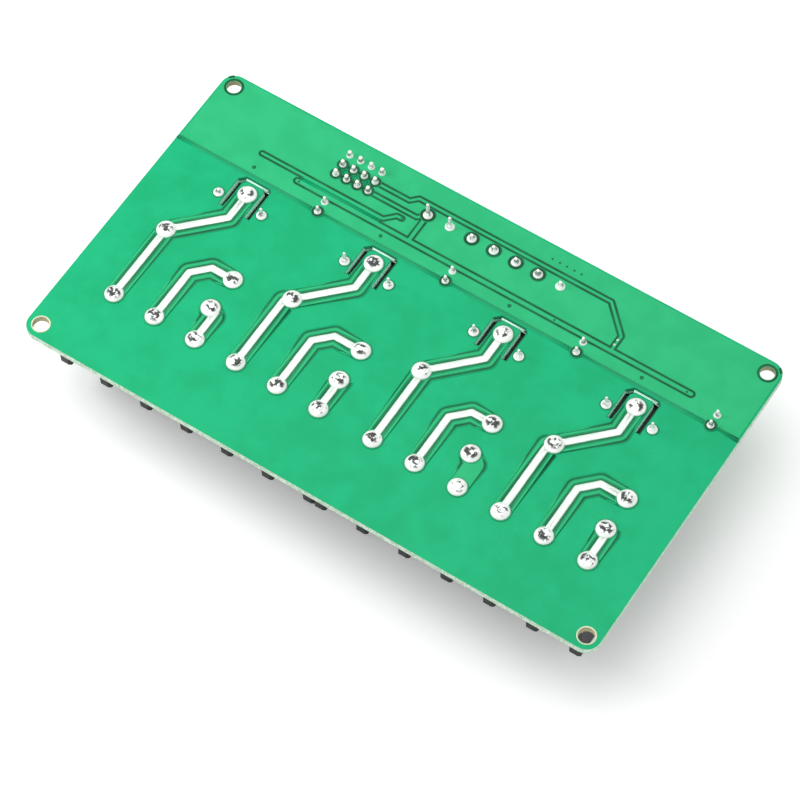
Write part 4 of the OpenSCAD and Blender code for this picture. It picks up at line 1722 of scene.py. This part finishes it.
@dataclass
class BoardPrint:
    """White print round the parts of the component side: plain outlines, no words."""

    line: float = 0.18 * MM
    depth: float = 0.02 * MM
    margin: float = 0.35 * MM
    boxed: tuple[str, ...] = ("barrier_1_housing", "barrier_2_housing", "input_housing",
                              "header_base", "relay_1_case", "relay_2_case", "relay_3_case",
                              "relay_4_case", "power_led", "power_resistor")
    row_kinds: tuple[str, ...] = ("optocoupler", "transistor", "flyback_diode")
    dot: float = 0.3 * MM

    def build(self) -> None:
        """Builds the outlines, the first-pin dots and the diode bars."""
        shape = Shape("board_print")
        for node in self.boxed:
            self.frame(shape, *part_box(node))
        for kind in self.row_kinds:
            for number in CHANNELS:
                low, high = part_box(f"{kind}_{number}")
                self.frame(shape, low, high)
                if kind == "flyback_diode":
                    self.bar(shape, low.x - self.margin, low.x - self.margin + 2 * self.line,
                             low.y, high.y)
                else:
                    self.spot(shape, low.x - self.margin - 2 * self.dot, high.y)
        for one in islands("channel_resistors"):
            self.frame(shape, one.low, one.high)
        shape.piece("laminate")

    def frame(self, shape: Shape, low: Vector, high: Vector) -> None:
        """Adds a rectangle of print round one part.

        Args:
            shape: The mesh to add to.
            low: The part's lowest corner.
            high: Its highest corner.
        """
        grow, line = self.margin, self.line
        west, east, near, far = low.x - grow, high.x + grow, low.y - grow, high.y + grow
        self.bar(shape, west, east, near - line, near)
        self.bar(shape, west, east, far, far + line)
        self.bar(shape, west - line, west, near - line, far + line)
        self.bar(shape, east, east + line, near - line, far + line)

    def bar(self, shape: Shape, west: float, east: float, near: float, far: float) -> None:
        """Adds one stroke of print on the component side.

        Args:
            shape: The mesh to add to.
            west: Lowest x.
            east: Highest x.
            near: Lowest y.
            far: Highest y.
        """
        shape.block((west, near, PLATE_LOW - self.depth), (east, far, PLATE_LOW + self.depth),
                    Use.PRINT, self.depth * 0.4, 1)

    def spot(self, shape: Shape, x: float, y: float) -> None:
        """Adds the dot that marks a chip's first lead.

        Args:
            shape: The mesh to add to.
            x: Its centre.
            y: Its centre.
        """
        rows = [shape.ring(disc(x, y, self.dot, level, DOT_PARTS))
                for level in (PLATE_LOW - self.depth, PLATE_LOW + self.depth)]
        shape.solid(rows, Use.PRINT)


@dataclass
class GullWings:
    """A moulded chip with bent leads, drawn with its leads along one axis."""

    kind: str
    body_share: tuple[float, float]
    leads: tuple[tuple[int, float], ...]
    lead_width: float
    along_x: bool
    dimple: bool = False
    lead_thick: float = 0.16 * MM
    root: float = 0.1 * MM
    upper_bends: tuple[float, float] = (0.28, 0.55)
    lower_bends: tuple[float, float] = (0.1, 0.42)
    standoff: float = 0.1 * MM
    chamfer: float = 0.16 * MM
    low_chamfer: float = 0.064 * MM
    draft: float = 0.07
    corner: float = 0.08 * MM
    dimple_in: float = 0.55 * MM
    dimple_rings: tuple[tuple[float, float], ...] = ((0.26, 0.03), (0.26, -0.004), (0.2, 0.01))

    def build(self) -> None:
        """Builds the chip over each CAD node of its kind."""
        for number in CHANNELS:
            node = f"{self.kind}_{number}"
            low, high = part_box(node)
            shape = Shape(f"{self.kind}_{number}_dressed")
            self.body(shape, low, high)
            for side, place in self.leads:
                self.lead(shape, low, high, side, place)
            shape.piece("chip_resin", [node])

    def body(self, shape: Shape, low: Vector, high: Vector) -> None:
        """Adds the moulded body with its parting line.

        Args:
            shape: The mesh to add to.
            low: The node's lowest corner.
            high: The node's highest corner.
        """
        middle, half = (low + high) / 2, (high - low) / 2
        across, along = half.x * self.body_share[0], half.y * self.body_share[1]
        top, bottom = low.z, high.z - self.standoff
        slope = (bottom - top) * self.draft
        rows = []
        for level, inset in (
                (bottom, slope + self.low_chamfer), (bottom - self.low_chamfer, slope),
                ((top + bottom) / 2, 0.0), (top + self.chamfer, slope),
                (top, slope + self.chamfer)):
            wide, deep, cut = across - inset, along - inset, self.corner
            rows.append(shape.ring(Vector((middle.x + x, middle.y + y, level)) for x, y in (
                (wide, deep - cut), (wide - cut, deep), (cut - wide, deep), (-wide, deep - cut),
                (-wide, cut - deep), (cut - wide, -deep), (wide - cut, -deep),
                (wide, cut - deep))))
        shape.solid(rows, Use.CHIP)
        for face in shape.mesh.faces:
            face.smooth = False
        if self.dimple:
            x, y = middle.x - across + self.dimple_in, middle.y + along - self.dimple_in
            shape.solid([shape.ring(disc(x, y, reach * MM, top + sink * MM, DOT_PARTS))
                         for reach, sink in self.dimple_rings], Use.BASE)

    def lead(self, shape: Shape, low: Vector, high: Vector, side: int, place: float) -> None:
        """Adds one bent lead from the body's side down to the board.

        Args:
            shape: The mesh to add to.
            low: The node's lowest corner.
            high: The node's highest corner.
            side: 1 or -1, the side of the body that it leaves.
            place: Its place along that side, in millimetres from the middle.
        """
        middle, half = (low + high) / 2, (high - low) / 2
        reach = half.x if self.along_x else half.y
        wall = reach * self.body_share[0 if self.along_x else 1]
        waist = (low.z + high.z) / 2
        foot, thick, out = high.z, self.lead_thick, reach - wall

        def side_of(bends: tuple[float, float], sink: float) -> list[tuple[float, float]]:
            """Gives one face of the lead, from the body to its toe."""
            return [(wall - self.root, waist + sink), (wall + out * bends[0], waist + sink),
                    (wall + out * bends[1], foot - thick + sink), (reach, foot - thick + sink)]

        outline = side_of(self.upper_bends, 0.0) + side_of(self.lower_bends, thick)[::-1]
        rows = []
        for edge in (-self.lead_width / 2, self.lead_width / 2):
            across = place * MM + edge
            rows.append(shape.ring(
                Vector((middle.x + side * far, middle.y + across, level)) if self.along_x
                else Vector((middle.x + across, middle.y + side * far, level))
                for far, level in outline))
        shape.solid(rows, Use.PLATED)


@dataclass
class ChipCaps:
    """Ceramic chips with plated ends, over the CAD chips."""

    name: str
    nodes: tuple[str, ...]
    body: Use
    slot: str
    cap: float = 0.4 * MM
    film: float = 0.04 * MM
    bevel: float = 0.05 * MM

    def build(self) -> None:
        """Builds each chip's body, set in by the film's thickness, and two plated ends."""
        shape = Shape(self.name)
        for one in (island for node in self.nodes for island in islands(node)):
            low, high = one.box()
            cap, film = self.cap, self.film
            shape.block((low.x + cap * 0.5, low.y + film, low.z + film),
                        (high.x - cap * 0.5, high.y - film, high.z - film), self.body,
                        self.bevel, 1)
            for west in (low.x, high.x - cap):
                shape.block((west, low.y, low.z), (west + cap, high.y, high.z), Use.PLATED,
                            self.bevel, 2)
        shape.piece(self.slot, list(self.nodes))


def surface_parts() -> list[GullWings | ChipCaps]:
    """Lists the surface parts of the component side."""
    opto_leads = tuple((side, place) for side in (1, -1) for place in (-1.27, 1.27))
    transistor_leads = ((1, -0.95), (1, 0.95), (-1, 0.0))
    diode_leads = ((1, 0.0), (-1, 0.0))
    thin, wide = 0.4 * MM, 1.4 * MM
    return [
        GullWings("optocoupler", (4.4 / 7.17, 1.0), opto_leads, thin, True, True),
        GullWings("transistor", (1.0, 1.3 / 2.4), transistor_leads, thin, False),
        GullWings("flyback_diode", (4.3 / 5.2, 1.0), diode_leads, wide, True),
        ChipCaps("resistor_chips", ("channel_resistors", "power_resistor"), Use.CHIP,
                 "chip_resin"),
        ChipCaps("supply_lamp", ("power_led",), Use.CERAMIC, "lamp_resin"),
    ]


# ---------------------------------------------------------------- frame nodes

NODE_FINISHES: dict[str, Use] = {
    "circuit_board": Use.BOARD, "control_pour": Use.COPPER, "signal_tracks": Use.COPPER,
    "power_tracks": Use.COPPER, "case": Use.CASE, "base": Use.BASE, "leads": Use.LEAD,
    "barrier_housing": Use.BARRIER, "plates": Use.BRASS, "clamps": Use.PLATED,
    "screws": Use.PLATED, "input_housing": Use.INPUT, "cages": Use.BRASS, "pins": Use.LEAD,
    "header_base": Use.HEADER, "header_pins": Use.GOLD, "jumper_cap": Use.HEADER,
    "lens": Use.LAMP, "optocoupler": Use.CHIP, "transistor": Use.CHIP,
    "flyback_diode": Use.CHIP, "channel_resistors": Use.CHIP, "power_led": Use.CERAMIC,
    "power_resistor": Use.CHIP, "solder": Use.TRACK, "tinned": Use.TRACK,
}


def finish_of(node: str) -> Use:
    """Finds a CAD node's finish from its name.

    Args:
        node: Name of the node.

    Returns:
        The finish of the longest matching word.
    """
    words = "_".join(part for part in node.split("_") if not part.isdigit())
    fits = [key for key in NODE_FINISHES if key in words]
    return NODE_FINISHES[max(fits, key=len)]


def dress_frame() -> None:
    """Gives every CAD node its finish."""
    for node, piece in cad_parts.items():
        use = finish_of(node)
        piece.data.materials.clear()
        piece.data.materials.append(use.value.material())
        LOG.info("%s: %s", node, use.name.lower())


# ---------------------------------------------------------------- studio


@dataclass
class Studio:
    """Pale floor, soft lamps and the camera."""

    floor_half: float = 3.0
    floor_sink: float = 0.00002
    floor_tone: Colour = tint(252, 252, 252)
    paper_scale: float = 1500.0
    paper_tooth: float = 0.002 * MM
    ambient: float = 0.72
    paper_lift: float = 0.16
    lamps: tuple[tuple[str, tuple[float, float, float], float, float], ...] = (
        ("top lamp", (-0.10, 0.05, 0.75), 0.5, 1.75),
        ("side lamp", (-0.26, -0.08, 0.22), 0.14, 0.4))
    lens: tuple[float, float] = (155.64, 36.0)
    clip: tuple[float, float] = (0.01, 20.0)
    camera_place: tuple[float, float, float] = (0.191358, -0.279411, 0.591434)
    camera_right: tuple[float, float, float] = (0.83769, 0.54597, -0.01431)
    camera_down: tuple[float, float, float] = (0.46750, -0.73036, -0.49802)
    camera_ahead: tuple[float, float, float] = (-0.28235, 0.41049, -0.86705)

    def build(self) -> None:
        """Builds the floor, the world, the lamps and the camera."""
        self.floor()
        self.world()
        for lamp in self.lamps:
            self.lamp(*lamp)
        self.camera()
        bpy.context.scene.view_settings.view_transform = "Standard"

    def floor(self) -> None:
        """Builds the floor, white paper with a faint tooth."""
        half = self.floor_half
        data = bpy.data.meshes.new("floor")
        data.from_pydata([(x, y, -self.floor_sink) for x, y in
                          ((-half, -half), (half, -half), (half, half), (-half, half))],
                         [], [(0, 1, 2, 3)])
        made = bpy.data.objects.new("floor", data)
        bpy.context.scene.collection.objects.link(made)
        paper = bpy.data.materials.new("white paper")
        paper.use_nodes = True
        graph = Graph(paper.node_tree)
        shader = graph.add("BsdfDiffuse", {"Color": self.floor_tone})
        graph.put(shader.inputs["Normal"],
                  graph.bump(GRAIN.use(graph, Scale=self.paper_scale)["Height"],
                             self.paper_tooth, 0.2))
        lift = graph.maths("MULTIPLY", graph.add("LightPath").outputs["Is Camera Ray"],
                           self.paper_lift)
        glow = graph.add("Emission", {"Color": (1.0, 1.0, 1.0, 1.0), "Strength": lift})
        both = graph.add("AddShader")
        graph.put(both.inputs[0], shader.outputs[0])
        graph.put(both.inputs[1], glow.outputs[0])
        graph.put(graph.add("OutputMaterial").inputs["Surface"], both.outputs[0])
        data.materials.append(paper)

    def world(self) -> None:
        """Sets a white surround for view and gloss, and soft ambient light for the rest."""
        world = bpy.data.worlds.new("white surround")
        bpy.context.scene.world = world
        world.use_nodes = True
        graph = Graph(world.node_tree)
        path = graph.add("LightPath")
        seen = graph.maths("MAXIMUM", path.outputs["Is Camera Ray"],
                           path.outputs["Is Glossy Ray"])
        seen = graph.maths("MAXIMUM", seen, path.outputs["Is Transmission Ray"])
        lit = graph.add("Background", {"Color": (1.0, 1.0, 1.0, 1.0),
                                       "Strength": self.ambient})
        white = graph.add("Background", {"Color": (1.0, 1.0, 1.0, 1.0), "Strength": 1.0})
        mixed = graph.add("MixShader", {"Fac": seen})
        graph.put(mixed.inputs[1], lit.outputs[0])
        graph.put(mixed.inputs[2], white.outputs[0])
        graph.put(graph.add("OutputWorld").inputs["Surface"], mixed.outputs[0])

    def lamp(self, name: str, place: tuple[float, float, float], size: float,
             power: float) -> None:
        """Adds a soft square lamp that looks at the board.

        Args:
            name: Name of the lamp.
            place: Where it stands, in metres.
            size: Side of the square.
            power: Power in watts.
        """
        data = bpy.data.lights.new(name, "AREA")
        data.size, data.energy = size, power
        made = bpy.data.objects.new(name, data)
        made.location = place
        made.rotation_euler = (-Vector(place)).to_track_quat("-Z", "Y").to_euler()
        made.visible_camera = False
        bpy.context.scene.collection.objects.link(made)

    def camera(self) -> None:
        """Places the camera high beyond the near right corner, looking down to the left."""
        data = bpy.data.cameras.new("camera")
        data.lens, data.sensor_width = self.lens
        data.clip_start, data.clip_end = self.clip
        made = bpy.data.objects.new("camera", data)
        axes = (Vector(self.camera_right), -Vector(self.camera_down), -Vector(self.camera_ahead))
        turn = Matrix(axes).transposed().to_4x4()
        made.matrix_world = Matrix.Translation(self.camera_place) @ turn
        bpy.context.scene.collection.objects.link(made)
        bpy.context.scene.camera = made


def solder_rows() -> list[JointRow]:
    """Lists the five kinds of soldered rows with how each froze."""
    contact = JointStyle(Lead.FLAT, LOW_DOME, 0.16 * MM, 0.5 * MM, 0.06 * MM)
    coil = JointStyle(Lead.SQUARE, CONE, 0.06 * MM, 0.5 * MM, 0.02 * MM, 0.35, 28, Use.CONE)
    pin = JointStyle(Lead.SQUARE, CONE, 0.05 * MM, 0.4 * MM, 0.02 * MM, 0.35, 24, Use.CONE)
    relay_leads = tuple(f"relay_{number}_leads" for number in CHANNELS)
    return [
        JointRow("relay_joints", "relay_solder", relay_leads, contact, coil),
        JointRow("barrier_joints", "barrier_solder", ("barrier_1_plates", "barrier_2_plates"),
                 contact),
        JointRow("input_joints", "input_solder", ("input_pins",), pin),
        JointRow("header_joints", "header_solder", ("header_pins",), pin),
        JointRow("led_joints", "led_solder", ("led_leads",), pin),
    ]


def main() -> None:
    """Builds the pieces in order."""
    logging.basicConfig(level=logging.INFO, format="%(name)s: %(message)s")
    dress_frame()
    for part in (MaskSteps(), BoreRims(), TinnedTracks(), *solder_rows(), Vias(), BoardPrint(),
                 *surface_parts(), Studio()):
        part.build()
        LOG.info("%s done", type(part).__name__)


if __name__ == "__main__":
    main()
